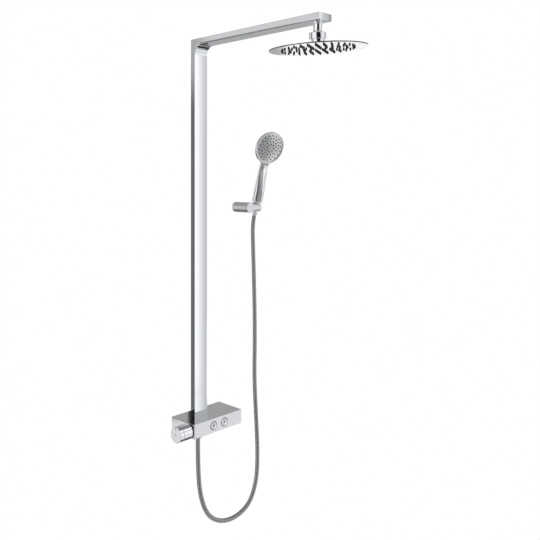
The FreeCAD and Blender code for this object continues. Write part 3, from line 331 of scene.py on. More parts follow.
def surface(name, base, metallic, roughness, spread, patch_mm, shade, relief_mm=0.0, relief_size_mm=1.0):
    """Material whose colour drifts by shade and its roughness by spread in patches, with a fine relief."""
    material = bpy.data.materials.new(name)
    tree = bare_tree(material)
    place = add_node(tree, "ShaderNodeTexCoord").outputs["Object"]
    patches = add_node(tree, "ShaderNodeTexNoise",
                       {"Vector": place, "Scale": 1 / (patch_mm * MM), "Detail": 4.0, "Roughness": 0.6})
    rough = add_node(tree, "ShaderNodeMapRange",
                     {"Value": patches.outputs["Fac"], "From Min": 0.35, "From Max": 0.7,
                      "To Min": roughness, "To Max": roughness + spread})
    darker = [c * (1 - shade) for c in base[:3]] + [1.0]
    tint = add_node(tree, "ShaderNodeMix", {"Factor": patches.outputs["Fac"], "A": list(base), "B": darker},
                    data_type="RGBA")
    shader = add_node(tree, "ShaderNodeBsdfPrincipled",
                      {"Base Color": tint.outputs["Result"], "Metallic": metallic,
                       "Roughness": rough.outputs["Result"]})
    if relief_mm:
        grain = add_node(tree, "ShaderNodeTexNoise",
                         {"Vector": place, "Scale": 1 / (relief_size_mm * MM), "Detail": 2.0})
        bump = add_node(tree, "ShaderNodeBump",
                        {"Height": grain.outputs["Fac"], "Strength": 1.0, "Distance": relief_mm * MM})
        tree.links.new(bump.outputs["Normal"], shader.inputs["Normal"])
    add_node(tree, "ShaderNodeOutputMaterial", {"Surface": shader.outputs["BSDF"]})
    return material


def chrome_plate():
    """Bright chrome on polished brass: a clean mirror that wiping marks only soften here and there."""
    return surface("chrome_plate", colours().chrome, metallic=1.0, roughness=0.03, spread=0.04,
                   patch_mm=45.0, relief_mm=0.0006, relief_size_mm=9.0, shade=0.03)


def chrome_on_abs():
    """Chrome on moulded ABS: a mirror with a slight waviness from the moulding under it."""
    return surface("chrome_on_abs", colours().plated_abs, metallic=1.0, roughness=0.05, spread=0.05,
                   patch_mm=30.0, relief_mm=0.0015, relief_size_mm=12.0, shade=0.03)


def satin_chrome():
    """Satin chrome: plating over a blasted casting, which spreads what it mirrors into soft bands."""
    return surface("satin_chrome", colours().chrome, metallic=1.0, roughness=0.4, spread=0.04,
                   patch_mm=20.0, relief_mm=0.001, relief_size_mm=0.6, shade=0.04)


def hose_strip():
    """Rolled stainless strip: duller than chrome, with fine marks from rolling."""
    return surface("hose_strip", colours().strip, metallic=1.0, roughness=0.16, spread=0.08,
                   patch_mm=18.0, relief_mm=0.0008, relief_size_mm=0.6, shade=0.1)


def satin_plate():
    """Satin chrome on a moulded plate: a soft grey sheen that runs from dark to light across the face."""
    return surface("satin_plate", colours().face, metallic=0.85, roughness=0.16, spread=0.04,
                   patch_mm=14.0, relief_mm=0.0006, relief_size_mm=0.5, shade=0.04)


def silicone():
    """Soft silicone: matt and slightly uneven where it is cleaned by rubbing."""
    return surface("silicone", colours().silicone, metallic=0.0, roughness=0.55, spread=0.1,
                   patch_mm=6.0, relief_mm=0.01, relief_size_mm=0.8, shade=0.1)


def printed_ink():
    """Pad-printed ink: flat and thin."""
    return surface("printed_ink", colours().ink, metallic=0.0, roughness=0.5, spread=0.1,
                   patch_mm=3.0, shade=0.1)


def black_cover():
    """Moulded black plastic with a matt sparked texture."""
    return surface("black_cover", colours().black_plastic, metallic=0.0, roughness=0.5, spread=0.15,
                   patch_mm=20.0, relief_mm=0.02, relief_size_mm=0.6, shade=0.2)


def bare_brass():
    """Machined brass: warm metal with a turned sheen."""
    return surface("bare_brass", colours().brass, metallic=1.0, roughness=0.28, spread=0.12,
                   patch_mm=8.0, relief_mm=0.003, relief_size_mm=0.7, shade=0.15)


def plain_steel():
    """Zinc-plated steel: grey metal with a soft, patchy sheen."""
    return surface("plain_steel", colours().steel, metallic=1.0, roughness=0.35, spread=0.15,
                   patch_mm=6.0, relief_mm=0.004, relief_size_mm=0.8, shade=0.15)


def seal_rubber():
    """Black rubber: dull and even."""
    return surface("seal_rubber", colours().rubber, metallic=0.0, roughness=0.7, spread=0.1,
                   patch_mm=5.0, relief_mm=0.01, relief_size_mm=0.6, shade=0.2)


FINISHES = {}

FINISH_OF_SLOT = {
    "chrome_casing": chrome_plate,
    "chrome_fittings": chrome_plate,
    "chrome_disc": chrome_plate,
    "chrome_knob": chrome_on_abs,
    "chrome_buttons": chrome_on_abs,
    "chrome_handset": chrome_on_abs,
    "grey_face": satin_plate,
    "nozzle_rubber": silicone,
    "hose_metal": hose_strip,
    "brass": bare_brass,
    "inner_plastic": black_cover,
    "steel": plain_steel,
    "seal_rubber": seal_rubber,
}

# Nodes whose finish differs from their slot's. The knob collar's black is partly painted shade: it stands in for
# the dark gap between the knob and the casing.
OWN_FINISH = {"handset_holder": satin_chrome, "knob_collar": black_cover}


def finish(make):
    """The material that a function makes, made once."""
    if make not in FINISHES:
        FINISHES[make] = make()
    return FINISHES[make]


# The hose

# Corner points of the hose's route in metres, from the handset's ferrule down and round to the mixer's.
HOSE_MIDDLE = (
    (0.2055, -0.0340, 0.5000),
    (0.2100, -0.0355, 0.3450),
    (0.2100, -0.0380, 0.2050),
    (0.2040, -0.0410, 0.0800),
    (0.2100, -0.0430, -0.0400),
    (0.2145, -0.0450, -0.1400),
    (0.2125, -0.0460, -0.2120),
    (0.2030, -0.0465, -0.2635),
    (0.1745, -0.0470, -0.3120),
    (0.1180, -0.0475, -0.3320),
    (0.0560, -0.0485, -0.3235),
    (0.0030, -0.0485, -0.2870),
    (-0.0260, -0.0482, -0.2180),
)

# Runs straight out of the upper ferrule and into the lower one, and the upper ferrule's end below its seat.
HOSE_LEAD = 0.028
HOSE_TAIL = 0.082
FERRULE_TIP = 0.028

# The groove's half width as a share of the pitch and how blunt it is, and the way along which the hose
# gradually stops following the handset.
GROOVE_SHARE = 0.26
GROOVE_POWER = 0.7

HANDSET_SEAT = np.array(joints["handset_turn"]["pos_m"], float)
HANDSET_UP = unit(joints["handset_turn"]["axis"])


def hose_route():
    """The route's corner points, straight out of the ferrule at each end."""
    start = HANDSET_SEAT - HANDSET_UP * FERRULE_TIP
    low, high = corners_of("hose_lower_ferrule")
    end = np.array([(low[0] + high[0]) / 2, (low[1] + high[1]) / 2, low[2]])
    down = np.array([0.0, 0.0, -1.0])
    return [start, start - HANDSET_UP * HOSE_LEAD, *HOSE_MIDDLE, end + down * HOSE_TAIL, end]


def spline_points(route):
    """Close points of the smooth spline that takes the route's corners as its control points."""
    curve = bpy.data.curves.new("hose_line", "CURVE")
    curve.dimensions = "3D"
    curve.resolution_u = 48
    spline = curve.splines.new("NURBS")
    spline.points.add(len(route) - 1)
    for point, corner in zip(spline.points, route):
        point.co = (*corner, 1.0)
    spline.order_u = 3
    spline.use_endpoint_u = True
    holder = bpy.data.objects.new("hose_line", curve)
    mesh = bpy.data.meshes.new_from_object(holder)
    points = np.zeros(len(mesh.vertices) * 3)
    mesh.vertices.foreach_get("co", points)
    bpy.data.objects.remove(holder)
    bpy.data.curves.remove(curve)
    bpy.data.meshes.remove(mesh)
    return points.reshape(-1, 3)


def hose_surface(points, radius, pitch, groove, around=18, steps=6):
    """Strip wound round a path: at distance s + pitch * a / tau and angle a, the radius is the crest's less
    the groove's depth times a narrow dip once every pitch, so that the rows follow the strip's helix."""
    gaps = np.linalg.norm(np.diff(points, axis=0), axis=1)
    run = np.concatenate([[0.0], np.cumsum(gaps)])
    length = run[-1]
    ways = np.gradient(points, run, axis=0)
    turns = math.ceil(length / pitch) + 1
    row = np.arange(turns * steps + 1)[:, None]
    a = np.linspace(0, TAU, around + 1)[None, :]
    along = np.clip((row / steps - 1) * pitch + pitch * a / TAU, 0, length)
    phase = (row % steps) / steps
    dip = np.clip(1 - np.abs(phase - 0.5) / GROOVE_SHARE, 0, 1) ** GROOVE_POWER
    reach = radius - groove * dip + 0 * a
    centre = np.stack([np.interp(along, run, points[:, k]) for k in range(3)], axis=-1)
    way = np.stack([np.interp(along, run, ways[:, k]) for k in range(3)], axis=-1)
    way /= np.linalg.norm(way, axis=-1, keepdims=True)
    out = np.array([0.0, -1.0, 0.0]) - way * -way[..., 1:2]
    out /= np.linalg.norm(out, axis=-1, keepdims=True)
    side = np.cross(way, out)
    return patch_grid(centre + reach[..., None] * (np.cos(a)[..., None] * out + np.sin(a)[..., None] * side))


class SHOWER_OT_hose(bpy.types.Operator):
    """Metal hose hanging from the handset round to the mixer"""

    bl_idname = "shower.hose"
    bl_label = "Hose"

    def execute(self, context):
        points = spline_points(hose_route())
        radius = sizes().hose_diameter / 2
        grid = hose_surface(points, radius, sizes().hose_pitch, sizes().hose_groove)
        hose = piece("hose_strip_wound", [grid], finish(hose_strip), None, WOUND_CREASE)
        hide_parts("shower_hose")
        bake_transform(hose)
        return {"FINISHED"}


# Column and arm

TUBE_WALL = 1.5 * MM
FOOT_HEIGHT = 42.0 * MM
FOOT_BEND = 0.3 * MM
ELBOW_SEAM = 0.35 * MM


def tube_section(width, depth, edges, crown, steps=24):
    """Section of a flat tube as (across, through): upper face through = depth / 2, lower face through =
    -depth / 2 - crown * (1 - (across / flat)^2) with flat = width / 2 - edge, short faces straight, and each
    corner an arc, of one radius above and another below."""
    faces = []
    corners = []
    for edge, swell in zip(edges, (0.0, crown)):
        flat = width / 2 - edge
        across = np.linspace(-flat, flat, steps)
        faces.append(np.stack([across, depth / 2 + swell * (1 - (across / flat) ** 2)], axis=-1))
        turn = np.linspace(0, math.pi / 2, 7)[1:-1]
        centre = depth / 2 - edge
        corners.append(np.stack([flat + edge * np.sin(turn), centre + edge * np.cos(turn)], axis=-1))
    ends = [depth / 2 - edge for edge in edges]
    side = supported([[width / 2, ends[0]], [width / 2, -ends[1]]])
    return np.concatenate([
        faces[0], corners[0], side, corners[1][::-1] * (1, -1),
        faces[1] * (-1, -1), corners[1] * (-1, -1), side[::-1] * (-1, 1), corners[0][::-1] * (-1, 1)])


def tube_piece(name, node, along, across, through, edges, crown, flare=0.0):
    """Tube over a frame node: its section carried along its length outside and back inside the wall, with a
    fine seam left at the elbow. The front stands out by flare * (1 - height / foot height) at the foot."""
    low, high = corners_of(node)
    middle = (low + high) / 2
    sides = [abs((high - low) @ np.array(way)) for way in (across, through, along)]
    outer = tube_section(sides[0], sides[1], edges, crown)
    inner = tube_section(sides[0] - 2 * TUBE_WALL, sides[1] - 2 * TUBE_WALL, (TUBE_WALL / 4,) * 2, 0.0)
    bend = [FOOT_HEIGHT - FOOT_BEND, FOOT_HEIGHT + FOOT_BEND] if flare else []
    top = sides[2] - ELBOW_SEAM
    stations = [(outer, height) for height in (0.0, *bend, top)] + [(inner, top), (inner, 0.0)]
    rows = []
    for section, height in stations:
        proud = flare * max(1 - height / FOOT_HEIGHT, 0.0) * (section[:, 1:] < 0) * (section is outer)
        flat = section[:, :1] * np.array(across) + (section[:, 1:] - proud) * np.array(through)
        rows.append(middle + flat + (height - sides[2] / 2) * np.array(along))
    points = np.stack(rows)
    grid = points, quads(len(rows), points.shape[1], True, True)
    return piece(name, [grid], finish(chrome_plate), "column", METAL_CREASE, (node,))


def crowned_cap():
    """Cover on the arm's end, in the arm's own section: flat behind, its front crown * (2 across / width)^2
    behind the middle line, both closed on a middle point."""
    low, high = corners_of("arm_end_cap")
    back = corners_of("arm_tube")[0][1]
    width, tall = high[0] - low[0], high[2] - low[2]
    section = tube_section(width, tall, (sizes().tube_edge, sizes().arm_edge), 0.0)
    share = np.array([0.0, 1.0, 1.0, *np.linspace(0.99, 0.0, 12)])
    flat = share[:, None, None] * section
    front = low[1] + sizes().cap_crown * (2 * flat[..., 0] / width) ** 2
    through = np.where(np.arange(len(share))[:, None] < 2, back, front)
    across, up = flat[..., 0] + (low[0] + high[0]) / 2, flat[..., 1] + (low[2] + high[2]) / 2
    return tube_grid(np.stack([across, through, up], axis=-1))


class SHOWER_OT_column(bpy.types.Operator):
    """Polished tubes of the column and the arm"""

    bl_idname = "shower.column"
    bl_label = "Column and arm"

    def execute(self, context):
        x, y, z = np.eye(3)
        edge = sizes().column_edge
        tube_piece("column_polished", "riser_tube", z, x, y, (edge, edge), sizes().tube_crown,
                   sizes().foot_flare)
        tube_piece("arm_polished", "arm_tube", y, x, z, (sizes().tube_edge, sizes().arm_edge), 0.0)
        piece("arm_cap_polished", [crowned_cap()], finish(chrome_plate), "column",
              METAL_CREASE, ("arm_end_cap",))
        return {"FINISHED"}


# Overhead shower

BALL = np.array(joints["head_tilt"]["pos_m"], float)
HEAD_LEAN = math.radians(-4.7)
HEAD_UP = np.array([math.sin(HEAD_LEAN), 0.0, math.cos(HEAD_LEAN)])
HEAD_SIDE = np.array([math.cos(HEAD_LEAN), 0.0, -math.sin(HEAD_LEAN)])
HEAD_AWAY = np.array([0.0, 1.0, 0.0])
DISC_TOP = -28.0 * MM
DISC_UNDER = -31.0 * MM
SEAM_TOP = -28.5 * MM
SEAM_UNDER = -30.5 * MM
DISC_RADIUS = 125.0 * MM
DISC_LIP = DISC_RADIUS - 1.2 * MM
DISC_GROOVE = 0.25 * MM
DISC_SEGMENTS = 192
SEAM_RADIUS = DISC_RADIUS - 0.1 * MM
FIELD_RADIUS = 92.0 * MM
FIELD_COUNTS = (6, 12, 18, 24, 30)

# In millimetres: the ball, its middle below the arm, the neck above it and the hollow that holds it.
BALL_RADIUS = 13.0
BALL_DROP = 37.0
NECK_RADIUS = 7.5
CUP_RADIUS = 15.1

# Outlines of a soft nozzle overhead and in the handset, as (radius, height) in millimetres.
OVERHEAD_NUB = (
    (0, 0.2), (2.6, 0.2), (2.5, -0.9), (2.0, -3.5), (1.6, -4.0), (0.8, -4.0), (0.7, -3.2), (0, -3.2))
HANDSET_NUB = ((0, -0.3), (2.3, -0.3), (2.2, 0.5), (1.9, 1.0), (0.8, 1.0), (0.7, 0.5), (0, 0.5))
NUB_SEGMENTS = 8


def mm(rows):
    """Rows of millimetres as metres."""
    return [tuple(value * MM for value in row) for row in rows]


def nipple_outline():
    """Stem, ring, groove and neck as (radius, drop below the arm), then the ball of radius r at drop d:
    radius = r sin a, drop = d - r cos a."""
    neck = rounded(mm([
        (0, -11, 0), (8, -11, 0), (8, 0, 0), (12, 0, 0.4), (12, 5.5, 0.5), (10.6, 5.5, 0), (10.6, 6.3, 0),
        (11.5, 6.3, 0.4), (11.5, 24, 1.6), (NECK_RADIUS, 24, 0), (NECK_RADIUS, 26.38, 0)]))
    a = np.linspace(math.asin(NECK_RADIUS / BALL_RADIUS), math.pi, 24)[1:]
    ball = np.stack([BALL_RADIUS * np.sin(a), BALL_DROP - BALL_RADIUS * np.cos(a)], axis=-1) * MM
    return np.concatenate([neck, ball])


class SHOWER_OT_overhead(bpy.types.Operator):
    """Overhead shower: nipple, ball nut, socket, thin disc and its nozzles"""

    bl_idname = "shower.overhead"
    bl_label = "Overhead shower"

    def execute(self, context):
        metal = finish(chrome_plate)
        arm_under = corners_of("arm_tube")[0][2]
        below_arm = np.array([BALL[0], BALL[1], arm_under])
        piece("nipple_polished", [turned(nipple_outline(), below_arm, (0, 0, -1))], metal,
              "column", METAL_CREASE, ("head_ball_nipple",))
        nut = ring(mm([
            (17.6, -6, 0), (22, -6, 0.7), (22, 10, 1.6), (11.45, 10, 0.3),
            (14.6, 4.4, 0), (15.15, 0, 0), (15.15, -1, 0), (17.6, -1, 0)]))
        piece("ball_nut_polished", [turned(nut, BALL, HEAD_UP)], metal,
              "head", METAL_CREASE, ("head_ball_nut",))
        a = np.linspace(0.05, math.acos(1 / CUP_RADIUS), 12)[::-1]
        cup = np.stack([CUP_RADIUS * np.sin(a), -CUP_RADIUS * np.cos(a)], axis=-1) * MM
        foot = rounded(mm([
            (0, -28, 0), (18.75, -28, 0), (18.75, -16, 0.6), (17.8, -16, 0), (17.8, -6.1, 0),
            (17.5, -6.1, 0), (17.5, -1, 0)]))
        socket = np.concatenate([foot, cup, [[0.0, cup[-1, 1]]]])
        piece("socket_polished", [turned(socket, BALL, HEAD_UP)], metal,
              "head", METAL_CREASE, ("head_socket",))
        edge = sizes().disc_edge
        inner = DISC_RADIUS - DISC_GROOVE
        floor = DISC_UNDER + DISC_GROOVE
        disc = rounded([
            (0, DISC_TOP, 0), (DISC_RADIUS, DISC_TOP, edge), (DISC_RADIUS, SEAM_TOP, 0),
            (inner, SEAM_TOP, 0), (inner, SEAM_UNDER, 0), (DISC_RADIUS, SEAM_UNDER, 0),
            (DISC_RADIUS, DISC_UNDER, edge), (DISC_LIP, DISC_UNDER, 0), (DISC_LIP, floor, 0),
            (DISC_LIP - DISC_GROOVE, floor, 0), (DISC_LIP - DISC_GROOVE, DISC_UNDER, 0), (0, DISC_UNDER, 0)])
        piece("disc_polished", [turned(disc, BALL, HEAD_UP, DISC_SEGMENTS)], metal,
              "head", METAL_CREASE, ("head_top_shell", "head_nozzle_plate"))
        # A black rubber sealing ring fills the joint round the rim. Its black is partly painted shade: a dark line
        # that stands in for the shading along the rim's edges.
        seal = ring([
            (DISC_LIP, SEAM_UNDER, 0), (SEAM_RADIUS, SEAM_UNDER, 0), (SEAM_RADIUS, SEAM_TOP, 0),
            (DISC_LIP, SEAM_TOP, 0)])
        piece("disc_seam_and_shade", [turned(seal, BALL, HEAD_UP, DISC_SEGMENTS)], finish(seal_rubber),
              "head")
        rings = len(FIELD_COUNTS)
        radii = FIELD_RADIUS * np.arange(1, rings + 1) / rings
        under = BALL + HEAD_UP * DISC_UNDER
        spots = ring_places(radii, FIELD_COUNTS, under, HEAD_SIDE, -HEAD_AWAY)
        nub = turned(mm(OVERHEAD_NUB), np.zeros(3), HEAD_UP, NUB_SEGMENTS)
        piece("overhead_nozzles_soft", [repeated(nub, spots)], finish(silicone),
              "head", NUB_CREASE, ("head_nozzles",))
        return {"FINISHED"}


# Temperature knob

KNOB_PLACE = np.array(joints["knob_turn"]["pos_m"], float)
KNOB_OUT = np.array([-1.0, 0.0, 0.0])
KNOB_SEGMENTS = 128

# In millimetres: the knob's radius and length, and how far up its end the two dots stand.
KNOB_RADIUS = 22.4
KNOB_LENGTH = 47.0
DOT_HEIGHTS = (0.0, 15.5)


class SHOWER_OT_knob(bpy.types.Operator):
    """Temperature knob: grip, end cap beyond a fine line, and two marks on its end"""

    bl_idname = "shower.knob"
    bl_label = "Temperature knob"

    def execute(self, context):
        end = corners_of("knob_end_cap")[0][0]
        base = np.array([end + KNOB_LENGTH * MM, KNOB_PLACE[1], KNOB_PLACE[2]])
        edge = sizes().knob_edge / MM
        metal = finish(chrome_on_abs)
        grip = ring(mm([
            (4.1, 16.9, 0), (18, 16.9, 0), (18, 4.3, 0), (KNOB_RADIUS, 4.3, edge),
            (KNOB_RADIUS, 33.7, edge / 2), (19.05, 33.7, 0), (19.05, 30.8, 0), (3.9, 30.8, 0),
            (3.9, 27.9, 0), (2.1, 27.9, 0), (2.1, 26.9, 0), (4.1, 26.9, 0)]))
        piece("knob_grip", [turned(grip, base, KNOB_OUT, KNOB_SEGMENTS)], metal, "knob",
              METAL_CREASE, ("temperature_knob",))
        cap = rounded(mm([
            (0, 30.85, 0), (19, 30.85, 0), (19, 34.2, 0), (KNOB_RADIUS, 34.2, edge / 2),
            (KNOB_RADIUS, KNOB_LENGTH, 1.6 * edge), (0, KNOB_LENGTH, 0)]))
        piece("knob_cap", [turned(cap, base, KNOB_OUT, KNOB_SEGMENTS)], metal, "knob",
              METAL_CREASE, ("knob_end_cap",))
        dot = np.array(mm([(0, 46.98), (1.9, 46.98), (1.9, 47.03), (0, 47.03)]))
        marks = [turned(dot, base + np.array([0, 0, up * MM]), KNOB_OUT, segments=20) for up in DOT_HEIGHTS]
        piece("knob_marks", marks, finish(printed_ink), "knob", METAL_CREASE)
        return {"FINISHED"}


# Push buttons

BEZEL_RISE = 1.0 * MM
DISH_RADIUS = 9.9 * MM
DISH_RIM = 1.0 * MM
DISH_DEPTH = 0.4 * MM
SPRING_RADIUS = 6.0 * MM
SPRING_WIRE = 0.7 * MM
SPRING_BACK = -12.3 * MM
SPRING_FRONT = -6.0 * MM
INK_RISE = 0.03 * MM

# Strokes of the signs in millimetres, each from end to end with its weight: an overhead rose and a hand
# shower.
ROSE_SIGN = (
    ((0.0, 5.2), (0.0, 2.4), 1.5),
    ((-3.9, 1.7), (3.9, 1.7), 1.9),
    ((-2.7, 0.1), (-2.7, -4.6), 1.4),
    ((0.0, 0.1), (0.0, -4.9), 1.4),
    ((2.7, 0.1), (2.7, -4.6), 1.4),
)
HAND_SIGN = (
    ((4.0, 5.0), (0.3, 0.7), 1.9),
    ((-2.8, 2.6), (2.6, -2.2), 1.9),
    ((-3.3, 1.0), (-5.0, -1.0), 1.3),
    ((-1.6, -0.8), (-3.4, -3.0), 1.3),
    ((0.3, -2.4), (-1.4, -4.5), 1.3),
)


def dish_height(across, up):
    """Height of the dished button face: rim - depth * (1 - (r / dish radius)^2)."""
    share = (across ** 2 + up ** 2) / DISH_RADIUS ** 2
    return DISH_RIM - DISH_DEPTH * (1 - np.minimum(share, 1))


def stroke(first, last, width, base, steps=10):
    """Line of ink on the dished face: first + share * (last - first), half its width to each side and a hair
    above and below the face, closed on its middle at both tips."""
    first, last = np.array([first, last], float) * MM
    way = unit(last - first)
    side = np.array([-way[1], way[0]])
    share = np.concatenate([[0.0], np.linspace(0, 1, steps), [1.0]])
    half = np.concatenate([[0.0], np.full(steps, width / 2), [0.0]])
    lift = np.array([1.0, 1.0, -1.0, -1.0]) * INK_RISE
    across = np.array([1.0, -1.0, -1.0, 1.0])
    line = first + share[:, None] * (last - first)
    flat = line[:, None, :] + (half[:, None] * across)[..., None] * side
    out = dish_height(flat[..., 0], flat[..., 1]) + lift * (half > 0)[:, None]
    return tube_grid(base + np.stack([flat[..., 0], -out, flat[..., 1]], axis=-1))


def coil(base, low, high, turns=3, steps=24, around=8):
    """Return spring behind a cap, wire radius r wound at radius R: across (R + r cos b) cos a, up
    (R + r cos b) sin a, out from low to high with a, plus r sin b. Both ends close on the wire's middle."""
    a = np.linspace(0, TAU * turns, steps * turns + 1)
    a = np.concatenate([a[:1], a, a[-1:]])[:, None]
    b = np.linspace(0, TAU, around, endpoint=False)
    wire = np.where((np.arange(len(a)) % (len(a) - 1) == 0)[:, None], 0.0, SPRING_WIRE / 2)
    radius = SPRING_RADIUS + wire * np.cos(b)
    out = low + (high - low) * a / a[-1] + wire * np.sin(b)
    return tube_grid(base + np.stack([radius * np.cos(a), -out, radius * np.sin(a)], axis=-1))


class SHOWER_OT_buttons(bpy.types.Operator):
    """Two push buttons: flush bezel, dark sealing ring whose black is partly painted shade in the gap round the
    cap, dished cap with its stem, return spring and printed sign
    """

    bl_idname = "shower.buttons"
    bl_label = "Push buttons"

    def execute(self, context):
        for name, sign in (("overhead", ROSE_SIGN), ("handset", HAND_SIGN)):
            low, high = corners_of(name + "_button_bezel")
            base = (low + high) / 2
            base[1] = low[1] + BEZEL_RISE
            out = (0, -1, 0)
            bezel = ring(mm([
                (12.55, -9, 0), (13.3, -9, 0), (13.3, 0, 0), (14.4, 0, 0), (13.9, 0.25, 0.2),
                (12.55, 0.25, 0.1)]))
            piece(name + "_bezel", [turned(bezel, base, out)], finish(chrome_on_abs), "column",
                  METAL_CREASE, (name + "_button_bezel",))
            # Black rubber sealing ring in the gap between cap and bezel. Its black is partly painted shade: the
            # dark outline that the gap's shade gives.
            seal = ring(mm([(10.95, -1.4, 0), (12.5, -1.4, 0), (12.5, 0.5, 0.15), (10.95, 0.5, 0.15)]))
            piece(name + "_seal", [turned(seal, base, out)], finish(seal_rubber), "column")
            rim = rounded(mm([
                (0, -24, 0), (3.5, -24, 0), (3.5, -5, 0), (10.8, -5, 0), (10.8, 1.0, 0.3), (9.9, 1.0, 0)]))
            radius = np.linspace(DISH_RADIUS, 0, 12)[1:]
            dish = np.stack([radius, dish_height(radius, 0)], axis=-1)
            piece(name + "_cap", [turned(np.concatenate([rim, dish]), base, out)], finish(chrome_on_abs),
                  name + "_button", METAL_CREASE, (name + "_button_cap",))
            spring = piece(name + "_spring", [coil(base, SPRING_BACK, SPRING_FRONT)], finish(plain_steel),
                           None, WOUND_CREASE, (name + "_button_spring",))
            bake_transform(spring)
            lines = [stroke(first, last, width * sizes().sign_line, base) for first, last, width in sign]
            piece(name + "_sign", lines, finish(printed_ink), name + "_button",
                  METAL_CREASE)
        return {"FINISHED"}


# Handset

HANDSET_TURN = math.radians(-9.3)
LEVEL = np.cross(HANDSET_UP, (1.0, 0.0, 0.0))
HANDSET_SIDE = math.cos(HANDSET_TURN) * np.array([1.0, 0.0, 0.0]) + math.sin(HANDSET_TURN) * LEVEL
HANDSET_BACK = np.cross(HANDSET_UP, HANDSET_SIDE)
HANDSET_AXES = np.stack([HANDSET_SIDE, HANDSET_BACK, HANDSET_UP])
FACE_NOD = math.radians(3.8)
FACE_PLACE = np.array([0.0, -12.9, 195.2]) * MM
FACE_OUT = np.array([0.0, -math.cos(FACE_NOD), -math.sin(FACE_NOD)])
FACE_UP = np.array([0.0, -math.sin(FACE_NOD), math.cos(FACE_NOD)])
FACE_RADII = (12.0, 21.9, 31.1, 39.3)
FACE_COUNTS = (8, 12, 18, 18)
PLATE_RADIUS = 46.6 * MM
PLATE_SINK = 0.6 * MM
PLATE_BACK = -5.4 * MM

# The skin's sizes in millimetres, with heights up the handle's axis from its seat.
RIM_DEPTH = 7.0
BACK_RADIUS = 50.4
BACK_DEPTH = 22.0
HANDLE_FOOT = 18.0
HANDLE_RADIUS = 17.0
HANDLE_LENGTH = 119.0
FOOT_CORNER = 1.6
FOOT_SHARES = (0.0, 0.9, 0.97, 0.99)
FOOT_RISES = (0.0, 0.0, 0.25, 0.9)

# The handle loses these shares of its width and depth on its way up, by these powers, and leans back by a
# share of its radius.
WIDTH_LOSS = (0.13, 1.3)
DEPTH_LOSS = (0.2, 1.6)
LEAN_SHARE = 0.08

# Heights between which the skin goes over from handle to head: the width from the head's middle down, then
# the lean, the section's middle, the front and the back, which drops away inside the dome.
WIDTH_FADE = (42, 8)
LEAN_RISE = (100, 140)
MIDDLE_RISE = (95, 150)
FRONT_RISE = (50, 150)
BACK_FALL = (168, 200)
BACK_DROP = 40
NECK_SHARE = 0.965
CIRCLE_FALL = 3
NECK_SOFTNESS = 9
DOME_SOFTNESS = 6


def on_handset(points):
    """Points in the handset's own frame, in metres, moved to where it hangs."""
    return HANDSET_SEAT + np.asarray(points) @ HANDSET_AXES


def handset_surface(around=96):
    """Handle and head in one skin. At height h the section is x = W cos a, y = M + B sin a behind and
    M + F sin a in front. W is the larger of the handle's width and the head circle sqrt(R^2 - t^2), rounded
    over where they meet, B the larger of the handle's back and the dome D W / R, and F fades to the flat
    back of the face between neck and head."""
    slope = math.tan(FACE_NOD)
    middle = FACE_PLACE[2] / MM + RIM_DEPTH * math.sin(FACE_NOD)
    tall = BACK_RADIUS * math.cos(FACE_NOD)
    neck = middle - NECK_SHARE * tall
    turn = np.linspace(math.asin((neck - middle) / tall), math.pi / 2, 72)
    handle = np.linspace(HANDLE_FOOT + FOOT_CORNER, neck, 60)[:-1]
    h = np.concatenate([handle, middle + tall * np.sin(turn)])
    t = (h - middle) / math.cos(FACE_NOD)
    inside = np.sqrt(np.maximum(BACK_RADIUS ** 2 - t ** 2, 0))
    circle = np.where(np.abs(t) < BACK_RADIUS, inside, CIRCLE_FALL * (BACK_RADIUS - np.abs(t)))
    share = np.clip((h - HANDLE_FOOT) / HANDLE_LENGTH, 0, 1)
    fade = 1 - smooth(h, middle - WIDTH_FADE[0], middle - WIDTH_FADE[1])
    width = HANDLE_RADIUS * (1 - WIDTH_LOSS[0] * share ** WIDTH_LOSS[1]) * fade
    depth = HANDLE_RADIUS * (1 - DEPTH_LOSS[0] * share ** DEPTH_LOSS[1])
    shift = HANDLE_RADIUS * LEAN_SHARE * smooth(h, *LEAN_RISE)
    wide = larger(width, circle, NECK_SOFTNESS * fade)
    plane = FACE_PLACE[1] / MM + RIM_DEPTH * math.cos(FACE_NOD) - (h - middle) * slope
    to_head = smooth(h, *MIDDLE_RISE)
    slimmer = smooth(h, *FRONT_RISE)
    dome = plane + BACK_DEPTH * np.maximum(circle, 0) / BACK_RADIUS
    back = larger(shift + depth - BACK_DROP * smooth(h, *BACK_FALL), dome, DOME_SOFTNESS * fade)
    front = (shift - depth) * (1 - slimmer) + plane * slimmer
    centre = shift * (1 - to_head) + plane * to_head
    h = np.concatenate([HANDLE_FOOT + np.array(FOOT_RISES), h])
    wide, back, front, centre = [
        np.concatenate([line[0] * np.array(FOOT_SHARES), line]) for line in (wide, back, front, centre)]
    a = np.linspace(0, TAU, around, endpoint=False)[None, :]
    reach = np.where(np.sin(a) > 0, (back - centre)[:, None], (centre - front)[:, None])
    x = wide[:, None] * np.cos(a)
    y = centre[:, None] + reach * np.sin(a)
    return tube_grid(on_handset(np.stack([x, y, h[:, None] + 0 * a], axis=-1) * MM))


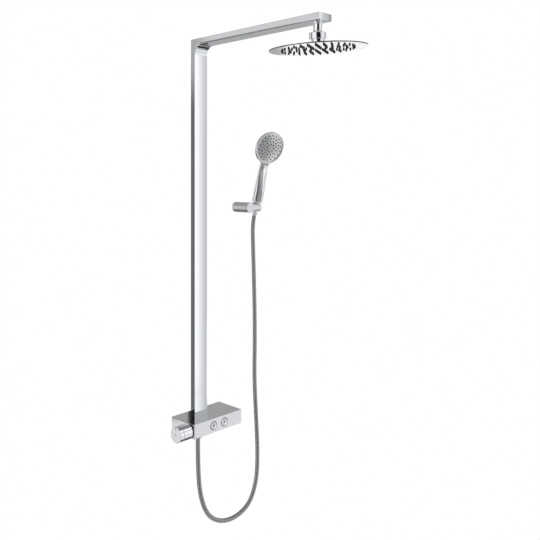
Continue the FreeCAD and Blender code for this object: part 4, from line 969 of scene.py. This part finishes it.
class SHOWER_OT_handset(bpy.types.Operator):
    """Hand shower: skin of handle and head, rim, spray plate and its nozzles"""

    bl_idname = "shower.handset"
    bl_label = "Hand shower"

    def execute(self, context):
        piece("handset_skin", [handset_surface()], finish(chrome_on_abs), "handset",
              SKIN_CREASE, ("handset_shell",))
        centre = on_handset(FACE_PLACE)
        out = FACE_OUT @ HANDSET_AXES
        up = FACE_UP @ HANDSET_AXES
        rim = ring(mm([(46.65, -7, 0), (51, -7, 0.5), (51, 0, 2.2), (46.65, 0, 1.2)]), steps=8)
        piece("handset_rim_polished", [turned(rim, centre, out, segments=160)], finish(satin_chrome),
              "handset", METAL_CREASE, ("handset_rim",))
        swell = sizes().plate_swell
        radius = np.linspace(PLATE_RADIUS, 0, 20)
        height = -PLATE_SINK - swell * (radius / PLATE_RADIUS) ** 2
        behind = [[0, PLATE_BACK], [PLATE_RADIUS, PLATE_BACK]]
        plate = np.concatenate([behind, np.stack([radius, height], axis=-1)])
        piece("spray_plate", [turned(plate, centre, out, segments=128)], finish(satin_plate),
              "handset", METAL_CREASE, ("handset_face_plate",))
        radii = np.array(FACE_RADII) * MM
        spots = ring_places(radii, FACE_COUNTS, np.zeros(3), HANDSET_SIDE, up)
        far = np.linalg.norm(spots, axis=1, keepdims=True)
        spots = centre + spots - out * (PLATE_SINK + swell * (far / PLATE_RADIUS) ** 2)
        nub = turned(mm(HANDSET_NUB), np.zeros(3), out, NUB_SEGMENTS)
        piece("handset_nozzles_soft", [repeated(nub, spots)], finish(silicone),
              "handset", NUB_CREASE, ("handset_nozzles",))
        washer = ring(mm([(4.6, -2.98, 0), (9.5, -2.98, 0), (9.5, -1.1, 0), (4.6, -1.1, 0)]))
        piece("tail_washer", [turned(washer, HANDSET_SEAT, HANDSET_UP)], finish(seal_rubber), "handset",
              METAL_CREASE, ("hose_upper_washer",))
        return {"FINISHED"}


# Finishes of the frame's own pieces

class SHOWER_OT_finishes(bpy.types.Operator):
    """Materials of the pieces that keep the frame's own shape"""

    bl_idname = "shower.finishes"
    bl_label = "Finishes"

    def execute(self, context):
        for part in frame["record"]["subparts"]:
            thing = nodes[part["node"]]
            make = OWN_FINISH.get(part["node"], FINISH_OF_SLOT[part["material_slot"]])
            material = finish(make)
            for slot in thing.material_slots:
                slot.material = material
        return {"FINISHED"}


# The stage

CAMERA_PLACE = (-1.307, -1.568, 0.717)
CAMERA_AHEAD = (0.7193, 0.6947, 0.0)
CAMERA_LENS = 45.0
CAMERA_SHIFT = (0.45 / 540, -93 / 540)
SENSOR_WIDTH = 36.0
FLOOR_DROP = 0.75
FLOOR_REACH = 12.0

# Lamps: name, place and width in metres, and watts.
LAMPS = (
    ("key_lamp", (1.6, -2.4, 2.2), 1.6, 30.0),
    ("fill_lamp", (-2.4, -1.6, 1.4), 1.8, 18.0),
)

WHITE = (1.0, 1.0, 1.0, 1.0)

# Brightness of the even light, of the room that the chrome mirrors, of its ceiling and of the skylight in
# that, and the elevations in degrees between which the last two begin.
EVEN_BRIGHTNESS = 0.8
ROOM_BRIGHTNESS = 1.05
CEILING_BRIGHTNESS = 0.14
CEILING_EDGES = (40.0, 52.0)
SKYLIGHT_EDGES = (73.0, 80.0)
SKYLIGHT_BRIGHTNESS = 0.62

# Cards that the chrome mirrors, each over the ones before it: azimuth from +X, half width, softness, lowest
# elevation, softness, highest elevation, softness, all in degrees, and brightness.
CARDS = (
    (-40.0, 62.0, 40.0, -30.0, 4.0, 4.0, 4.0, 0.78),
    (-104.0, 48.0, 28.0, -30.0, 4.0, 4.0, 4.0, 0.42),
    (-142.0, 36.0, 14.0, -32.0, 4.0, 1.0, 3.0, 0.26),
    (-172.0, 15.0, 8.0, -32.0, 4.0, -3.0, 3.0, 0.09),
    (-125.0, 32.0, 8.0, -80.0, 5.0, -36.0, 3.0, 0.2),
    (-55.0, 9.0, 5.0, -19.5, 5.0, 19.2, 0.7, 1.12),
    (-25.0, 22.0, 11.0, -24.5, 1.5, 19.2, 0.7, 0.57),
    (-33.0, 8.0, 2.0, -30.0, 2.0, -12.0, 2.0, 1.05),
    (-22.0, 12.0, 5.0, -12.0, 2.0, 4.0, 4.0, 0.82),
    (-20.0, 12.0, 5.0, 11.2, 0.8, 17.0, 1.0, 0.3),
    (-51.5, 11.0, 2.0, -23.3, 0.7, -18.6, 0.7, 0.765),
    (-78.0, 14.0, 4.0, -42.0, 3.0, -17.0, 3.0, 0.24),
    (-62.0, 8.0, 5.0, -42.0, 3.0, -24.2, 0.8, 0.3),
    (-52.0, 18.0, 1.2, 19.4, 0.7, 26.0, 2.0, 0.47),
    (-85.0, 16.0, 4.0, 3.0, 2.0, 19.0, 2.0, 0.75),
    (5.0, 30.0, 8.0, 4.0, 2.0, 19.0, 3.0, 0.6),
    (130.0, 20.0, 6.0, -27.0, 2.0, -19.4, 0.6, 0.87),
    (134.0, 24.0, 6.0, 3.0, 3.0, 19.0, 2.0, 0.66),
    (124.0, 6.3, 0.8, 5.0, 2.0, 19.0, 2.0, 0.42),
    (130.0, 8.0, 3.0, -19.4, 0.6, 10.2, 0.4, 0.43),
    (130.0, 8.0, 3.0, -19.4, 0.6, 7.5, 2.2, 0.15),
    (104.0, 28.0, 6.0, 20.0, 3.0, 62.0, 5.0, 0.2),
    (134.0, 14.0, 3.0, 15.6, 1.0, 30.0, 4.0, 0.015),
    (80.0, 18.0, 5.0, -28.0, 4.0, 0.0, 2.0, 0.12),
    (80.0, 18.0, 5.0, 0.0, 2.0, 19.0, 3.0, 0.55),
    (94.0, 32.0, 4.0, -60.0, 5.0, -20.0, 4.0, 0.03),
    (98.0, 46.0, 5.0, -62.0, 4.0, -31.0, 3.0, 0.03),
    (44.0, 42.0, 10.0, 14.0, 5.0, 62.0, 5.0, 0.365),
    (50.2, 0.65, 0.15, 16.5, 1.0, 23.0, 1.5, 0.02),
    (10.0, 40.0, 12.0, 40.0, 4.0, 75.0, 6.0, 0.23),
    (44.0, 26.0, 6.0, -27.0, 3.0, -5.0, 0.7, 0.42),
    (52.0, 10.0, 0.6, -40.0, 5.0, 6.0, 2.0, 0.42),
    (-127.0, 28.0, 3.0, -2.0, 2.0, 30.0, 6.0, 0.01),
    (-10.0, 26.0, 8.0, -58.0, 4.0, -38.0, 3.0, 0.16),
    (-32.0, 6.0, 3.0, -53.0, 2.0, -44.0, 2.0, 1.0),
    (20.0, 30.0, 8.0, -58.0, 3.0, -24.0, 3.0, 0.24),
    (10.0, 60.0, 12.0, -89.9, 0.05, -85.0, 2.0, 0.03),
    (4.0, 12.0, 3.0, -60.0, 2.0, -43.0, 2.0, 0.0),
)


def sine(degrees):
    """Sine of an angle in degrees."""
    return math.sin(math.radians(degrees))


def cosine(degrees):
    """Cosine of an angle in degrees."""
    return math.cos(math.radians(degrees))


def shaded(tree, shade, bright, limits):
    """A shade with another brightness laid over it: mix(shade, bright, share), where share is the product of
    smooth steps, each from 0 where its value is at the first edge to 1 at the second."""
    share = 1.0
    for value, start, end in limits:
        step = add_node(tree, "ShaderNodeMapRange", {"Value": value, "From Min": start, "From Max": end},
                        interpolation_type="SMOOTHSTEP")
        both = add_node(tree, "ShaderNodeMath", {0: share, 1: step.outputs["Result"]}, operation="MULTIPLY")
        share = both.outputs[0]
    return add_node(tree, "ShaderNodeMix", {"Factor": share, "A": shade, "B": bright}).outputs["Result"]


def studio_world():
    """White to the camera; to the chrome, a ring of soft light and dark cards; to the rest, even light."""
    world = bpy.data.worlds.new("studio")
    bpy.context.scene.world = world
    world.cycles.sampling_method = "NONE"
    tree = bare_tree(world)
    way = add_node(tree, "ShaderNodeTexCoord").outputs["Generated"]
    flat = add_node(tree, "ShaderNodeVectorMath", {0: way, 1: (1.0, 1.0, 0.0)}, operation="MULTIPLY")
    level = add_node(tree, "ShaderNodeVectorMath", {0: flat.outputs["Vector"]}, operation="NORMALIZE")
    rise = add_node(tree, "ShaderNodeSeparateXYZ", {"Vector": way}).outputs["Z"]
    shade = shaded(tree, ROOM_BRIGHTNESS, CEILING_BRIGHTNESS, [(rise, *map(sine, CEILING_EDGES))])
    shade = shaded(tree, shade, SKYLIGHT_BRIGHTNESS, [(rise, *map(sine, SKYLIGHT_EDGES))])
    for azimuth, half, soft, low, low_soft, high, high_soft, bright in CARDS:
        towards = (cosine(azimuth), sine(azimuth), 0.0)
        beside = add_node(tree, "ShaderNodeVectorMath", {0: level.outputs["Vector"], 1: towards},
                          operation="DOT_PRODUCT")
        shade = shaded(tree, shade, bright, [
            (rise, sine(low - low_soft), sine(low + low_soft)),
            (rise, sine(high + high_soft), sine(high - high_soft)),
            (beside.outputs["Value"], cosine(half + soft), cosine(max(half - soft, 0.0)))])
    path = add_node(tree, "ShaderNodeLightPath")
    mirrored = add_node(tree, "ShaderNodeBackground", {"Color": shade, "Strength": 1.0})
    seen = add_node(tree, "ShaderNodeBackground", {"Color": WHITE, "Strength": 1.0})
    even = add_node(tree, "ShaderNodeBackground", {"Color": WHITE, "Strength": EVEN_BRIGHTNESS})
    lit = add_node(tree, "ShaderNodeMixShader",
                   {0: path.outputs["Is Glossy Ray"], 1: even.outputs[0], 2: mirrored.outputs[0]})
    shown = add_node(tree, "ShaderNodeMixShader",
                     {0: path.outputs["Is Camera Ray"], 1: lit.outputs[0], 2: seen.outputs[0]})
    add_node(tree, "ShaderNodeOutputWorld", {"Surface": shown.outputs[0]})


def floor_material():
    """Pale matt floor: white to the camera, and open to the chrome, which mirrors the cards past it."""
    material = bpy.data.materials.new("studio_floor")
    tree = bare_tree(material)
    path = add_node(tree, "ShaderNodeLightPath")
    matt = add_node(tree, "ShaderNodeBsdfDiffuse", {"Color": list(colours().floor)})
    white = add_node(tree, "ShaderNodeEmission", {"Color": WHITE, "Strength": 1.0})
    clear = add_node(tree, "ShaderNodeBsdfTransparent")
    open_to_gloss = add_node(tree, "ShaderNodeMixShader",
                             {0: path.outputs["Is Glossy Ray"], 1: matt.outputs[0], 2: clear.outputs[0]})
    shown = add_node(tree, "ShaderNodeMixShader",
                     {0: path.outputs["Is Camera Ray"], 1: open_to_gloss.outputs[0], 2: white.outputs[0]})
    add_node(tree, "ShaderNodeOutputMaterial", {"Surface": shown.outputs[0]})
    return material


def lamp(name, place, aim, width, watts):
    """Soft square lamp that points at a place and stays out of the chrome."""
    data = bpy.data.lights.new(name, "AREA")
    data.size = width
    data.energy = watts
    thing = placed(name, data)
    thing.location = place
    thing.rotation_euler = (Vector(aim) - Vector(place)).to_track_quat("-Z", "Y").to_euler()
    thing.visible_glossy = False


class SHOWER_OT_stage(bpy.types.Operator):
    """Camera, pale floor, even studio light and the cards that the chrome mirrors"""

    bl_idname = "shower.stage"
    bl_label = "Stage"

    def execute(self, context):
        scene = context.scene
        scene.view_settings.view_transform = "Standard"
        data = bpy.data.cameras.new("photo_camera")
        data.lens = CAMERA_LENS
        data.sensor_width = SENSOR_WIDTH
        data.shift_x, data.shift_y = CAMERA_SHIFT
        data.clip_end = 100.0
        camera = placed("photo_camera", data)
        camera.location = CAMERA_PLACE
        camera.rotation_euler = Vector(CAMERA_AHEAD).to_track_quat("-Z", "Y").to_euler()
        scene.camera = camera
        studio_world()
        low, high = cad_box
        level = low[2] - FLOOR_DROP
        corners = [(x * FLOOR_REACH, y * FLOOR_REACH, level) for y in (-1, 1) for x in (-1, 1)]
        mesh = bpy.data.meshes.new("floor")
        mesh.from_pydata(corners, [], [(0, 1, 3, 2)])
        mesh.materials.append(floor_material())
        floor = placed("floor", mesh)
        middle = [(a + b) / 2 for a, b in zip(low, high)]
        for name, place, width, watts in LAMPS:
            lamp(name, place, middle, width, watts)
        return {"FINISHED"}


class SHOWER_PT_panel(bpy.types.Panel):
    """Sidebar panel that lists the shower's steps"""

    bl_idname = "SHOWER_PT_panel"
    bl_label = "Shower column"
    bl_space_type = "VIEW_3D"
    bl_region_type = "UI"
    bl_category = "Shower"

    def draw(self, context):
        for operator in OPERATORS:
            self.layout.operator(operator.bl_idname)


OPERATORS = (
    SHOWER_OT_stage, SHOWER_OT_finishes, SHOWER_OT_hose, SHOWER_OT_column, SHOWER_OT_overhead,
    SHOWER_OT_knob, SHOWER_OT_buttons, SHOWER_OT_handset)
CLASSES = (ShowerSizes, ShowerColours, *OPERATORS, SHOWER_PT_panel)


def register():
    for kind in CLASSES:
        bpy.utils.register_class(kind)
    bpy.types.Scene.shower_sizes = bpy.props.PointerProperty(type=ShowerSizes)
    bpy.types.Scene.shower_colours = bpy.props.PointerProperty(type=ShowerColours)


def unregister():
    del bpy.types.Scene.shower_colours
    del bpy.types.Scene.shower_sizes
    for kind in reversed(CLASSES):
        bpy.utils.unregister_class(kind)


def main():
    """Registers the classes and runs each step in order."""
    register()
    bpy.ops.shower.stage()
    bpy.ops.shower.finishes()
    bpy.ops.shower.hose()
    bpy.ops.shower.column()
    bpy.ops.shower.overhead()
    bpy.ops.shower.knob()
    bpy.ops.shower.buttons()
    bpy.ops.shower.handset()


if __name__ == "__main__":
    main()
